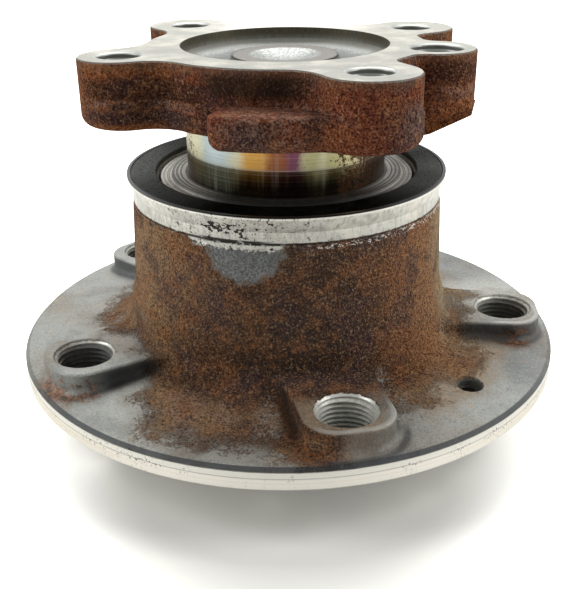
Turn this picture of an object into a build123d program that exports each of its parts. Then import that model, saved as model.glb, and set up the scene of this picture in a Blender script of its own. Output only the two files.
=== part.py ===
from build123d import *
from math import acos, cos, degrees, hypot, radians, sin, sqrt
import os

# Wheel hub bearing: the outer ring turns and carries the wheel,
# the solid inner spindle stands still and bolts to the steering knuckle.
# Millimetres. Z = 0 is the end of the wheel pilot, and +Z runs inboard along the axis.

# Wheel side of the hub
FLANGE_RADIUS = 73.1
BOLT_CIRCLE_INSET = 13.1
RIM_THICKNESS = 6.0
RIM_EDGE = 0.8
FLANGE_RISE = 1.6
PILOT_RADIUS = 36.25
PILOT_HEIGHT = 14.0
PILOT_WALL = 4.75
PILOT_EDGE = 1.0
PILOT_RELIEF_WIDTH = 4.0
PILOT_RELIEF_DEPTH = 0.8

# Wheel bolt bosses
WHEEL_BOLTS = 5
WHEEL_BOLT_CIRCLE = FLANGE_RADIUS - BOLT_CIRCLE_INSET
WHEEL_BOLT_HOLE = 7.0
WHEEL_BOLT_START = -77.5
WHEEL_BOLT_CHAMFER = 0.9
BOSS_RISE = 6.1
BOSS_INSET = 3.5
BOSS_REACH = FLANGE_RADIUS - BOSS_INSET
BOSS_HALF_WIDTH = 11.0
BOSS_EDGE = 0.7

# Tapped hole that holds the brake disc on, midway between two bosses
DISC_HOLE_RADIUS = 3.0
DISC_HOLE_INSET = 0.2
DISC_HOLE_CIRCLE = WHEEL_BOLT_CIRCLE - DISC_HOLE_INSET
DISC_HOLE_CHAMFER = 0.6
DISC_HOLE_SHARE = 0.6

# Machined band at the mouth of the hub, and the neck below it
HUB_LENGTH = 52.0
BAND_RADIUS = 40.7
BAND_HEIGHT = 8.2
BAND_GROOVE_DEPTH = 0.25
BAND_GROOVE_WIDTH = 0.5
BAND_GROOVE_DROP = 6.9
BAND_WALL = 6.2
LIP_OVERHANG = 1.3
LIP_RADIUS = BAND_RADIUS + LIP_OVERHANG
LIP_FLARE_HEIGHT = 4.2
LIP_LAND = 0.8
LIP_WALL = 0.8
NECK_TOP_STEP = 0.3
NECK_MIDDLE_STEP = 1.2
NECK_FOOT_STEP = 2.7
NECK_TOP_RADIUS = BAND_RADIUS + NECK_TOP_STEP
NECK_MIDDLE_RADIUS = BAND_RADIUS + NECK_MIDDLE_STEP
NECK_FOOT_RADIUS = BAND_RADIUS + NECK_FOOT_STEP
NECK_FOOT_RISE = 11.0
NECK_FOOT_SWEEP = 6.0
NECK_MIDDLE_DROP = 29.0
NECK_EDGE = 0.25

# Rounds of the bosses and of the neck's foot, from how far the bosses stand out
BOSS_LENGTH = BOSS_REACH - NECK_FOOT_RADIUS
BOSS_CORNER = 0.7273 * BOSS_HALF_WIDTH
BOSS_FLARE = 0.458 * BOSS_LENGTH
BOSS_FOOT = 0.0687 * BOSS_LENGTH
FLARE_RADIUS = sqrt(NECK_FOOT_RADIUS**2 + 2 * BOSS_FLARE * (NECK_FOOT_RADIUS - BOSS_HALF_WIDTH))
WEB_MARGIN = 0.81
WEB_RADIUS = FLARE_RADIUS + WEB_MARGIN

# Two rows of balls in angular contact
BALLS_PER_ROW = 13
BALL_RING_INSET = 11.5
PITCH_RADIUS = BAND_RADIUS - BALL_RING_INSET
BALL_SHARE = 0.20387
BALL_RADIUS = BALL_SHARE * PITCH_RADIUS
BALL_CLEARANCE = 0.1
ROW_SPACING = 24.0
ROW_MIDDLE_RISE = 24.0
SHAFT_LAND_SHARE = 0.5375
OUTER_HIGH_LAND_SHARE = 0.6215
OUTER_LOW_LAND_SHARE = 0.8063
SHAFT_RADIUS = PITCH_RADIUS - SHAFT_LAND_SHARE * BALL_RADIUS
OUTER_HIGH_LAND = PITCH_RADIUS + OUTER_HIGH_LAND_SHARE * BALL_RADIUS
OUTER_LOW_LAND = PITCH_RADIUS + OUTER_LOW_LAND_SHARE * BALL_RADIUS
CAGE_POCKET_CLEARANCE = 0.2
CAGE_THICKNESS = 4.0
CAGE_BACK = 1.3
CAGE_FINGER = 2.2

# Spindle nose and the pressed inner ring
SEAT_STEP = 9.0
SEAT_RADIUS = SHAFT_RADIUS - SEAT_STEP
PRESS_CLEARANCE = 0.01
INNER_RING_LENGTH = 19.0
INNER_RING_EDGE = 0.8
INNER_RING_OUTBOARD = 10.0
COLLAR_OVERHANG = 4.2
COLLAR_HEIGHT = 4.5
COLLAR_EDGE = 1.6
NOSE_WALL = 6.0
NOSE_DIMPLE_RADIUS = SEAT_RADIUS - NOSE_WALL
NOSE_DIMPLE_DEPTH = 3.0

# Cassette seal and encoder at the inboard mouth
SEAL_BORE = BAND_RADIUS - BAND_WALL
SEAL_BORE_DEPTH = 7.5
ENCODER_POCKET_DEPTH = 2.0
SHEET = 0.7
ENCODER_SHEET = 0.8
ENCODER_BORE_STEP = 0.2
ENCODER_BORE = SEAL_BORE - ENCODER_BORE_STEP
ENCODER_SIDE_CLEARANCE = 0.15
SEAL_LIP_CLEARANCE = 0.2
SEAL_CASE_GAP = 3.6
SEAL_CASE_BORE = SHAFT_RADIUS + SEAL_CASE_GAP
SLINGER_SIDE_CLEARANCE = 1.2
SLINGER_REACH = SEAL_BORE - SLINGER_SIDE_CLEARANCE
SLINGER_STEP_WIDTH = 4.2
SLINGER_STEP_RADIUS = SHAFT_RADIUS + SLINGER_STEP_WIDTH
SLINGER_STEP = 0.7
SLINGER_FACE_DROP = 0.9
RUBBER = 0.9

# Dust cap pressed into the pilot
CAP_SHEET = 1.2
CAP_DEPTH = 3.0
CAP_HEIGHT = 7.0
CAP_PANEL_RADIUS = 21.0
CAP_PANEL_RISE = 1.4

# Knuckle flange on the spindle
KNUCKLE_OFFSET = 83.5
KNUCKLE_UPPER = 8.2
KNUCKLE_LOWER = 8.0
KNUCKLE_BOLT_CIRCLE = 42.3
KNUCKLE_BOLT_HOLE = 5.25
KNUCKLE_BOLT_ANGLES = (-64.3, 34.3, 129.5, -158.7)
KNUCKLE_HOLE_CHAMFER = 0.5
EAR_SHARES = (0.2695, 0.2671, 0.2671, 0.234)
KNUCKLE_EAR_RADII = [share * KNUCKLE_BOLT_CIRCLE for share in EAR_SHARES]
WAIST_RADIUS = 0.8416 * KNUCKLE_BOLT_CIRCLE
NARROW_WAIST_FILLET = 0.0946 * KNUCKLE_BOLT_CIRCLE
WIDE_WAIST_FILLET = 0.2364 * KNUCKLE_BOLT_CIRCLE
LOWER_NARROW_FILLET = 0.0355 * KNUCKLE_BOLT_CIRCLE
LOWER_WIDE_FILLET = 0.1891 * KNUCKLE_BOLT_CIRCLE
WEB_ROOT_RADIUS = 0.2364 * KNUCKLE_BOLT_CIRCLE
LOWER_STEP = 1.1
LOWER_EDGE = 3.0
STEP_EDGE = 0.9
UPPER_EDGE = 0.4
ROOT_FILLET = 3.0
SENSOR_CIRCLE = 0.9007 * KNUCKLE_BOLT_CIRCLE
SENSOR_ANGLE = -14.2
SENSOR_HOLE = 6.5
SENSOR_EAR_RADIUS = 0.2293 * KNUCKLE_BOLT_CIRCLE
SENSOR_ROOT_HALF_WIDTH = 8.5
SENSOR_ROOT_DROP = 6.2
SENSOR_ROOT_RISE = 2.0
FRONT_LOBE_STEP = 11.0
FRONT_LOBE_RADIUS = WAIST_RADIUS + FRONT_LOBE_STEP
FRONT_LOBE_ANGLES = (-112.5, -70.0)
LOBE_CORNER = 3.0
LOBE_ROOT = 2.5
LOBE_BLEND = 6.0

# Recess in the knuckle face
RECESS_RIM = 9.3
RECESS_RADIUS = WAIST_RADIUS - RECESS_RIM
RECESS_WALL_DEPTH = 2.9
RECESS_FLOOR_DEPTH = 5.8
RECESS_BOSS_RADIUS = 0.5095 * RECESS_RADIUS
RECESS_BOSS_DROP = 2.7
RECESS_BOSS_EDGE = 0.6
RECESS_DISH_RADIUS = 0.3422 * RECESS_RADIUS
RECESS_DISH_DEPTH = 2.0

# How far cutters run past a face, and how close counts as touching
CUT = 1.0
TOUCH = 0.01

# Levels that follow from the sizes above
MOUNT_FACE_Z = PILOT_HEIGHT
RIM_TOP_Z = MOUNT_FACE_Z + RIM_THICKNESS
BOSS_FACE_Z = RIM_TOP_Z + BOSS_RISE
LIP_TOP_Z = MOUNT_FACE_Z + HUB_LENGTH
MOUTH_Z = LIP_TOP_Z - ENCODER_POCKET_DEPTH
KNUCKLE_FACE_Z = MOUNT_FACE_Z + KNUCKLE_OFFSET
KNUCKLE_STEP_Z = KNUCKLE_FACE_Z - KNUCKLE_UPPER
KNUCKLE_UNDER_Z = KNUCKLE_STEP_Z - KNUCKLE_LOWER
ROW_MIDDLE_Z = MOUNT_FACE_Z + ROW_MIDDLE_RISE
INBOARD_ROW_Z = ROW_MIDDLE_Z + ROW_SPACING / 2
OUTBOARD_ROW_Z = ROW_MIDDLE_Z - ROW_SPACING / 2
GROOVE_RADIUS = BALL_RADIUS + BALL_CLEARANCE
INNER_GROOVE_BOTTOM = PITCH_RADIUS - GROOVE_RADIUS
OUTER_GROOVE_BOTTOM = PITCH_RADIUS + GROOVE_RADIUS
INNER_RING_LOW_Z = OUTBOARD_ROW_Z - INNER_RING_OUTBOARD
INNER_RING_TOP_Z = INNER_RING_LOW_Z + INNER_RING_LENGTH
PILOT_BORE = PILOT_RADIUS - PILOT_WALL


def at_angle(radius, angle):
    """Point in plan at a radius and an angle from +X, in degrees."""
    return (radius * cos(radians(angle)), radius * sin(radians(angle)))


def turned(*edges):
    """Solid of revolution about the axis from edges drawn as radius and height."""
    return revolve(make_face(Plane.XZ * (Curve() + list(edges))), Axis.Z)


def turned_polygon(*points):
    """Solid of revolution about the axis from a straight-sided section."""
    return turned(Polyline(*points, close=True))


def groove_reach(land_radius):
    """Distance along the axis from a row's centre to where its groove meets a land."""
    return sqrt(GROOVE_RADIUS**2 - (land_radius - PITCH_RADIUS) ** 2)


def drilled(radius, low_z, high_z, place, low_chamfer=0, high_chamfer=0):
    """Cutter for a hole through a wall between two levels, with its edges chamfered."""
    x, y = place
    cutter = Pos(x, y, low_z - CUT) * extrude(Circle(radius), high_z - low_z + 2 * CUT)
    for level, chamfer_size, side in ((low_z, low_chamfer, 1), (high_z, high_chamfer, -1)):
        if chamfer_size:
            outer = radius + chamfer_size
            section = Polyline((0, 0), (outer, 0), (0, side * outer), close=True)
            cone = revolve(make_face(Plane.XZ * section), Axis.Z)
            lid = extrude(Circle(outer), -side * CUT)
            cutter += Pos(x, y, level) * (cone + lid)
    return cutter


# Wheel hub

def hub_blank():
    """Turned outside of the wheel hub: pilot, disc flange, neck, machined band and lip."""
    relief_radius = PILOT_RADIUS + PILOT_RELIEF_WIDTH
    web_z = RIM_TOP_Z + FLANGE_RISE
    foot_z = RIM_TOP_Z + NECK_FOOT_RISE
    band_z = LIP_TOP_Z - BAND_HEIGHT
    groove_z = LIP_TOP_Z - BAND_GROOVE_DROP
    below = Polyline(
        (0, 0),
        (PILOT_RADIUS - PILOT_EDGE, 0),
        (PILOT_RADIUS, PILOT_EDGE),
        (PILOT_RADIUS, MOUNT_FACE_Z + PILOT_RELIEF_DEPTH),
        (relief_radius, MOUNT_FACE_Z + PILOT_RELIEF_DEPTH),
        (relief_radius, MOUNT_FACE_Z),
        (FLANGE_RADIUS - RIM_EDGE, MOUNT_FACE_Z),
        (FLANGE_RADIUS, MOUNT_FACE_Z + RIM_EDGE),
        (FLANGE_RADIUS, RIM_TOP_Z - RIM_EDGE),
        (FLANGE_RADIUS - RIM_EDGE, RIM_TOP_Z),
        (WEB_RADIUS, web_z),
    )
    foot = Bezier(
        (WEB_RADIUS, web_z),
        (WEB_RADIUS - NECK_FOOT_SWEEP, web_z),
        (NECK_FOOT_RADIUS, foot_z - NECK_FOOT_SWEEP),
        (NECK_FOOT_RADIUS, foot_z),
    )
    above = Polyline(
        (NECK_FOOT_RADIUS, foot_z),
        (NECK_MIDDLE_RADIUS, LIP_TOP_Z - NECK_MIDDLE_DROP),
        (NECK_TOP_RADIUS, band_z - NECK_EDGE),
        (BAND_RADIUS, band_z),
        (BAND_RADIUS, groove_z - BAND_GROOVE_WIDTH),
        (BAND_RADIUS - BAND_GROOVE_DEPTH, groove_z - BAND_GROOVE_WIDTH / 2),
        (BAND_RADIUS, groove_z),
        (BAND_RADIUS, LIP_TOP_Z - LIP_FLARE_HEIGHT),
        (LIP_RADIUS, LIP_TOP_Z - LIP_LAND),
        (LIP_RADIUS, LIP_TOP_Z),
        (0, LIP_TOP_Z),
        (0, 0),
    )
    return turned(below, foot, above)


def hub_cavity():
    """What is bored out of the hub: pilot, two outer raceways, seal bore and encoder pocket."""
    low_reach = groove_reach(OUTER_LOW_LAND)
    high_reach = groove_reach(OUTER_HIGH_LAND)
    pilot_shoulder_z = OUTBOARD_ROW_Z - BALL_RADIUS - 2 * CAGE_BACK
    edges = [
        Polyline(
            (0, -CUT),
            (PILOT_BORE + PILOT_EDGE, -CUT),
            (PILOT_BORE + PILOT_EDGE, 0),
            (PILOT_BORE, PILOT_EDGE),
            (PILOT_BORE, pilot_shoulder_z),
            (OUTER_LOW_LAND, pilot_shoulder_z),
            (OUTER_LOW_LAND, OUTBOARD_ROW_Z - low_reach),
        ),
        ThreePointArc(
            (OUTER_LOW_LAND, OUTBOARD_ROW_Z - low_reach),
            (OUTER_GROOVE_BOTTOM, OUTBOARD_ROW_Z),
            (OUTER_HIGH_LAND, OUTBOARD_ROW_Z + high_reach),
        ),
        Line(
            (OUTER_HIGH_LAND, OUTBOARD_ROW_Z + high_reach),
            (OUTER_HIGH_LAND, INBOARD_ROW_Z - high_reach),
        ),
        ThreePointArc(
            (OUTER_HIGH_LAND, INBOARD_ROW_Z - high_reach),
            (OUTER_GROOVE_BOTTOM, INBOARD_ROW_Z),
            (OUTER_LOW_LAND, INBOARD_ROW_Z + low_reach),
        ),
        Polyline(
            (OUTER_LOW_LAND, INBOARD_ROW_Z + low_reach),
            (OUTER_LOW_LAND, MOUTH_Z - SEAL_BORE_DEPTH),
            (SEAL_BORE, MOUTH_Z - SEAL_BORE_DEPTH),
            (SEAL_BORE, MOUTH_Z),
            (LIP_RADIUS - LIP_WALL, MOUTH_Z),
            (LIP_RADIUS - LIP_WALL, LIP_TOP_Z + CUT),
            (0, LIP_TOP_Z + CUT),
            (0, -CUT),
        ),
    ]
    return turned(*edges)


def boss_outline():
    """Plan of the wheel bolt bosses: square-shouldered lobes that flare into the neck."""
    outline = Circle(NECK_FOOT_RADIUS)
    for index in range(WHEEL_BOLTS):
        lobe = Pos(BOSS_REACH / 2, 0) * Rectangle(BOSS_REACH, 2 * BOSS_HALF_WIDTH)
        lobe = fillet(lobe.vertices().group_by(Axis.X)[-1], BOSS_CORNER)
        outline += Rot(0, 0, WHEEL_BOLT_START + index * 360 / WHEEL_BOLTS) * lobe
    inner = [v for v in outline.vertices() if abs(hypot(v.X, v.Y) - NECK_FOOT_RADIUS) < TOUCH]
    return fillet(inner, BOSS_FLARE)


def is_boss_foot(edge):
    """Whether an edge lies at the foot of a boss, on the flange's upper face."""
    middle = edge.center()
    on_face = RIM_TOP_Z < middle.Z < RIM_TOP_Z + FLANGE_RISE + BOSS_EDGE
    return on_face and hypot(middle.X, middle.Y) < BOSS_REACH + BOSS_EDGE and not is_centred(edge)


def is_centred(edge):
    """Whether an edge is an arc round the axis."""
    return edge.geom_type == GeomType.CIRCLE and hypot(edge.arc_center.X, edge.arc_center.Y) < TOUCH


def wheel_hub():
    """Outer ring that turns with the wheel, with its bosses and tapped holes."""
    base_z = (MOUNT_FACE_Z + RIM_TOP_Z) / 2
    bosses = Pos(0, 0, base_z) * extrude(boss_outline(), BOSS_FACE_Z - base_z)
    bosses = fillet(bosses.faces().sort_by(Axis.Z)[-1].edges(), BOSS_EDGE)
    seam_angle = WHEEL_BOLT_START - 180 / WHEEL_BOLTS
    hub = Rot(0, 0, seam_angle) * hub_blank() + bosses
    hub = fillet([edge for edge in hub.edges() if is_boss_foot(edge)], BOSS_FOOT)
    hub -= hub_cavity()
    for index in range(WHEEL_BOLTS):
        place = at_angle(WHEEL_BOLT_CIRCLE, WHEEL_BOLT_START + index * 360 / WHEEL_BOLTS)
        hub -= drilled(
            WHEEL_BOLT_HOLE, MOUNT_FACE_Z, BOSS_FACE_Z, place, WHEEL_BOLT_CHAMFER, WHEEL_BOLT_CHAMFER
        )
    web_z = RIM_TOP_Z + FLANGE_RISE * DISC_HOLE_SHARE
    place = at_angle(DISC_HOLE_CIRCLE, WHEEL_BOLT_START + 180 / WHEEL_BOLTS)
    hub -= drilled(DISC_HOLE_RADIUS, MOUNT_FACE_Z, web_z, place, DISC_HOLE_CHAMFER, DISC_HOLE_CHAMFER)
    return hub


# Spindle

def ear_web(radius, angle, ear_radius):
    """Plan of one ear: its rounded end joined by tangent straight sides to the middle."""
    lean = degrees(acos((WEB_ROOT_RADIUS - ear_radius) / radius))
    centre = Vector(*at_angle(radius, angle))
    sides = [at_angle(WEB_ROOT_RADIUS, angle + lean), at_angle(WEB_ROOT_RADIUS, angle - lean)]
    ends = [centre + Vector(*at_angle(ear_radius, angle + turn)) for turn in (-lean, lean)]
    web = make_face(Polyline(*sides, *ends, close=True))
    return web + Pos(centre) * Rot(0, 0, angle + 180) * Circle(ear_radius)


def knuckle_outline(step, narrow_fillet, wide_fillet):
    """Plan of the knuckle flange: five ears with hollow waists between them.

    A step widens the sides of the ears and the waists, and leaves the ears' reach as it is.
    """
    waist = WAIST_RADIUS + step
    outline = Circle(waist)
    for angle, ear_radius in zip(KNUCKLE_BOLT_ANGLES, KNUCKLE_EAR_RADII):
        outline += ear_web(KNUCKLE_BOLT_CIRCLE - step, angle, ear_radius + step)
    outline += ear_web(SENSOR_CIRCLE - step, SENSOR_ANGLE, SENSOR_EAR_RADIUS + step)
    for narrow, radius in ((True, narrow_fillet), (False, wide_fillet)):
        corners = [v for v in outline.vertices() if abs(hypot(v.X, v.Y) - waist) < TOUCH]
        corners = [v for v in corners if is_beside_sensor(v) == narrow]
        outline = fillet(corners, radius)
    return outline


def is_beside_sensor(vertex):
    """Whether a corner of the plan lies in one of the two narrow waists by the sensor ear."""
    x, y = at_angle(1, SENSOR_ANGLE)
    across = abs(vertex.Y * x - vertex.X * y)
    return vertex.X * x + vertex.Y * y > across


def front_lobe():
    """Plan of the forged lobe along the front of the lower layer, with its left end rounded."""
    reach = 2 * FRONT_LOBE_RADIUS
    start, end = FRONT_LOBE_ANGLES
    wedge = Polyline(
        (0, 0),
        at_angle(reach, start),
        at_angle(reach, (start + end) / 2),
        at_angle(reach, end),
        close=True,
    )
    lobe = Circle(FRONT_LOBE_RADIUS) & make_face(wedge)
    return rounded_near(lobe, FRONT_LOBE_RADIUS, start, LOBE_CORNER)


def rounded_near(outline, radius, angle, fillet_radius):
    """Outline with the corner nearest to a point in plan rounded."""
    target = Vector(*at_angle(radius, angle))
    corner = min(outline.vertices(), key=lambda v: (Vector(v) - target).length)
    return fillet(corner, fillet_radius)


def lower_outline():
    """Plan of the lower layer: the flange's outline grown by a step, and the front lobe."""
    grown = WAIST_RADIUS + LOWER_STEP
    outline = knuckle_outline(LOWER_STEP, LOWER_NARROW_FILLET, LOWER_WIDE_FILLET) + front_lobe()
    outline = rounded_near(outline, grown, FRONT_LOBE_ANGLES[0], LOBE_ROOT)
    return rounded_near(outline, FRONT_LOBE_RADIUS, lobe_meets_ear(), LOBE_BLEND)


def lobe_meets_ear():
    """Angle in plan at which the front lobe runs into the nearest ear."""
    ear = KNUCKLE_EAR_RADII[0] + LOWER_STEP
    circle = KNUCKLE_BOLT_CIRCLE - LOWER_STEP
    to_ear = circle**2 + FRONT_LOBE_RADIUS**2 - ear**2
    between = degrees(acos(to_ear / (2 * circle * FRONT_LOBE_RADIUS)))
    return KNUCKLE_BOLT_ANGLES[0] - between


def spindle_shaft():
    """Turned spindle below the knuckle flange, with its raceway, ring seat and nose."""
    reach = groove_reach(SHAFT_RADIUS)
    dimple_z = INNER_RING_LOW_Z - COLLAR_HEIGHT
    collar_radius = SEAT_RADIUS + COLLAR_OVERHANG
    seat = Polyline(
        (0, dimple_z + NOSE_DIMPLE_DEPTH),
        (NOSE_DIMPLE_RADIUS - NOSE_DIMPLE_DEPTH, dimple_z + NOSE_DIMPLE_DEPTH),
        (NOSE_DIMPLE_RADIUS, dimple_z),
        (collar_radius - COLLAR_EDGE, dimple_z),
        (collar_radius, dimple_z + COLLAR_EDGE),
        (collar_radius, INNER_RING_LOW_Z),
        (SEAT_RADIUS, INNER_RING_LOW_Z),
        (SEAT_RADIUS, INNER_RING_TOP_Z),
        (INNER_GROOVE_BOTTOM, INNER_RING_TOP_Z),
        (INNER_GROOVE_BOTTOM, INBOARD_ROW_Z),
    )
    raceway = RadiusArc(
        (INNER_GROOVE_BOTTOM, INBOARD_ROW_Z), (SHAFT_RADIUS, INBOARD_ROW_Z + reach), GROOVE_RADIUS
    )
    shank = Polyline(
        (SHAFT_RADIUS, INBOARD_ROW_Z + reach),
        (SHAFT_RADIUS, KNUCKLE_UNDER_Z + CUT),
        (0, KNUCKLE_UNDER_Z + CUT),
        (0, dimple_z + NOSE_DIMPLE_DEPTH),
    )
    return turned(seat, raceway, shank)


def sensor_root():
    """Forged root that thickens the underside below the sensor ear."""
    outer = SENSOR_CIRCLE + SENSOR_EAR_RADIUS
    section = Polyline(
        (0, KNUCKLE_UNDER_Z + SENSOR_ROOT_RISE),
        (0, KNUCKLE_UNDER_Z - SENSOR_ROOT_DROP),
        (SHAFT_RADIUS, KNUCKLE_UNDER_Z - SENSOR_ROOT_DROP),
        (SENSOR_CIRCLE, KNUCKLE_UNDER_Z - SENSOR_ROOT_DROP / 2),
        (outer, KNUCKLE_UNDER_Z + SENSOR_ROOT_RISE),
        close=True,
    )
    rib = extrude(Plane.XZ * make_face(section), SENSOR_ROOT_HALF_WIDTH, both=True)
    return Rot(0, 0, SENSOR_ANGLE) * rib


def recess_cutter():
    """Turned recess in the knuckle face, with a raised boss and a dish in its middle."""
    wall_z = KNUCKLE_FACE_Z - RECESS_WALL_DEPTH
    boss_z = KNUCKLE_FACE_Z - RECESS_BOSS_DROP
    foot = (RECESS_BOSS_RADIUS + RECESS_BOSS_EDGE, boss_z - 2 * RECESS_BOSS_EDGE)
    dish_bottom = (0, boss_z - RECESS_DISH_DEPTH)
    floor_middle = ((RECESS_BOSS_RADIUS + RECESS_RADIUS) / 2, KNUCKLE_FACE_Z - RECESS_FLOOR_DEPTH)
    dish_edge = (RECESS_DISH_RADIUS, boss_z)
    dish = TangentArc(dish_bottom, dish_edge, tangent=(1, 0))
    boss = Polyline(dish_edge, (RECESS_BOSS_RADIUS, boss_z), foot)
    floor = ThreePointArc(foot, floor_middle, (RECESS_RADIUS, wall_z))
    wall = Polyline(
        (RECESS_RADIUS, wall_z),
        (RECESS_RADIUS, KNUCKLE_FACE_Z),
        (RECESS_RADIUS + UPPER_EDGE, KNUCKLE_FACE_Z + UPPER_EDGE),
        (0, KNUCKLE_FACE_Z + UPPER_EDGE),
        dish_bottom,
    )
    return turned(dish, boss, floor, wall)


def knuckle_flange():
    """Two forged layers of the knuckle flange, before its holes are drilled."""
    lower = Pos(0, 0, KNUCKLE_UNDER_Z) * extrude(lower_outline(), KNUCKLE_LOWER)
    lower = fillet(lower.faces().sort_by(Axis.Z)[0].edges(), LOWER_EDGE)
    lower = fillet(lower.faces().sort_by(Axis.Z)[-1].edges(), STEP_EDGE)
    outline = knuckle_outline(0, NARROW_WAIST_FILLET, WIDE_WAIST_FILLET)
    base_z = KNUCKLE_UNDER_Z + LOWER_EDGE
    upper = Pos(0, 0, base_z) * extrude(outline, KNUCKLE_FACE_Z - base_z)
    upper = chamfer(upper.faces().sort_by(Axis.Z)[-1].edges(), UPPER_EDGE)
    return lower + upper


def spindle():
    """Solid stub axle with its raceway, nose collar and forged knuckle flange."""
    body = spindle_shaft() + knuckle_flange() + sensor_root()
    level = [edge for edge in body.edges() if abs(edge.center().Z - KNUCKLE_UNDER_Z) < TOUCH]
    body = fillet([e for e in level if is_centred(e) and abs(e.radius - SHAFT_RADIUS) < TOUCH], ROOT_FILLET)
    body -= recess_cutter()
    for angle in KNUCKLE_BOLT_ANGLES:
        place = at_angle(KNUCKLE_BOLT_CIRCLE, angle)
        body -= drilled(
            KNUCKLE_BOLT_HOLE,
            KNUCKLE_UNDER_Z,
            KNUCKLE_FACE_Z,
            place,
            KNUCKLE_HOLE_CHAMFER,
            KNUCKLE_HOLE_CHAMFER,
        )
    place = at_angle(SENSOR_CIRCLE, SENSOR_ANGLE)
    body -= drilled(
        SENSOR_HOLE, KNUCKLE_UNDER_Z - SENSOR_ROOT_DROP, KNUCKLE_FACE_Z, place, 0, KNUCKLE_HOLE_CHAMFER
    )
    return body


# Bearing insides

def outboard_inner_ring():
    """Inner ring of the outboard row, pressed on the nose and held by its swaged collar."""
    reach = groove_reach(SHAFT_RADIUS)
    bore = SEAT_RADIUS + PRESS_CLEARANCE
    low = Polyline(
        (INNER_GROOVE_BOTTOM, OUTBOARD_ROW_Z),
        (INNER_GROOVE_BOTTOM, INNER_RING_TOP_Z),
        (bore, INNER_RING_TOP_Z),
        (bore, INNER_RING_LOW_Z),
        (SHAFT_RADIUS - INNER_RING_EDGE, INNER_RING_LOW_Z),
        (SHAFT_RADIUS, INNER_RING_LOW_Z + INNER_RING_EDGE),
        (SHAFT_RADIUS, OUTBOARD_ROW_Z - reach),
    )
    raceway = RadiusArc(
        (SHAFT_RADIUS, OUTBOARD_ROW_Z - reach), (INNER_GROOVE_BOTTOM, OUTBOARD_ROW_Z), GROOVE_RADIUS
    )
    return turned(low, raceway)


def ball(row_z, index):
    """One ball of a row."""
    x, y = at_angle(PITCH_RADIUS, index * 360 / BALLS_PER_ROW)
    return Pos(x, y, row_z) * Sphere(BALL_RADIUS)


def ball_cage(row_z, side):
    """Snap-in crown cage: a ring on one side of the row with fingers between the balls."""
    inner = PITCH_RADIUS - CAGE_THICKNESS / 2
    outer = PITCH_RADIUS + CAGE_THICKNESS / 2
    pocket = BALL_RADIUS + CAGE_POCKET_CLEARANCE
    back_z = row_z - side * (pocket + CAGE_BACK)
    finger_z = row_z + side * CAGE_FINGER
    cage = turned_polygon((inner, back_z), (outer, back_z), (outer, finger_z), (inner, finger_z))
    for index in range(BALLS_PER_ROW):
        x, y = at_angle(PITCH_RADIUS, index * 360 / BALLS_PER_ROW)
        cage -= Pos(x, y, row_z) * Sphere(pocket)
    return cage


# Seal and encoder

def seal_slinger():
    """Stepped steel slinger pressed on the shaft, which faces outward between shaft and encoder."""
    bore = SHAFT_RADIUS + PRESS_CLEARANCE
    top_z = LIP_TOP_Z - SLINGER_FACE_DROP
    low_z = top_z - SLINGER_STEP
    return turned_polygon(
        (bore, MOUTH_Z - SEAL_BORE_DEPTH + SHEET),
        (bore + SHEET, MOUTH_Z - SEAL_BORE_DEPTH + SHEET),
        (bore + SHEET, top_z - SHEET),
        (SLINGER_STEP_RADIUS - SHEET / 2, top_z - SHEET),
        (SLINGER_STEP_RADIUS, low_z - SHEET),
        (SLINGER_REACH, low_z - SHEET),
        (SLINGER_REACH, low_z),
        (SLINGER_STEP_RADIUS + SHEET / 2, low_z),
        (SLINGER_STEP_RADIUS, top_z),
        (bore, top_z),
    )


def seal_carrier():
    """Steel case of the seal, pressed in the hub's mouth."""
    outer = SEAL_BORE - PRESS_CLEARANCE
    low_z = MOUTH_Z - SEAL_BORE_DEPTH
    return turned_polygon(
        (SEAL_CASE_BORE, low_z),
        (outer, low_z),
        (outer, MOUTH_Z - PRESS_CLEARANCE),
        (outer - SHEET, MOUTH_Z - PRESS_CLEARANCE),
        (outer - SHEET, low_z + SHEET),
        (SEAL_CASE_BORE, low_z + SHEET),
    )


def seal_lips():
    """Rubber bonded on the case: a radial lip at the sleeve and two axial lips at the slinger."""
    base_z = MOUTH_Z - SEAL_BORE_DEPTH + SHEET
    top_z = base_z + RUBBER
    sleeve = SHAFT_RADIUS + PRESS_CLEARANCE + SHEET + SEAL_LIP_CLEARANCE
    under_high = LIP_TOP_Z - SLINGER_FACE_DROP - SHEET - SEAL_LIP_CLEARANCE
    under_low = under_high - SLINGER_STEP
    inner_lip = (SEAL_CASE_BORE + SLINGER_STEP_RADIUS) / 2 - RUBBER
    outer_lip = (SLINGER_STEP_RADIUS + SLINGER_REACH) / 2
    return turned_polygon(
        (SEAL_CASE_BORE - RUBBER, base_z),
        (SEAL_BORE - PRESS_CLEARANCE - SHEET, base_z),
        (SEAL_BORE - PRESS_CLEARANCE - SHEET, top_z),
        (outer_lip, top_z),
        (outer_lip + RUBBER, under_low),
        (outer_lip + RUBBER / 2, under_low),
        (outer_lip - RUBBER, top_z),
        (inner_lip + RUBBER, top_z),
        (inner_lip + RUBBER / 2, under_high),
        (inner_lip, under_high),
        (inner_lip - RUBBER / 2, top_z),
        (sleeve, top_z + 2 * RUBBER),
        (sleeve, top_z + RUBBER),
    )


def encoder_carrier():
    """Steel washer pressed in the pocket of the lip, which carries the magnetic ring."""
    outer = LIP_RADIUS - LIP_WALL - PRESS_CLEARANCE
    return turned_polygon(
        (ENCODER_BORE, MOUTH_Z),
        (outer, MOUTH_Z),
        (outer, MOUTH_Z + ENCODER_SHEET),
        (ENCODER_BORE, MOUTH_Z + ENCODER_SHEET),
    )


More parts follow.
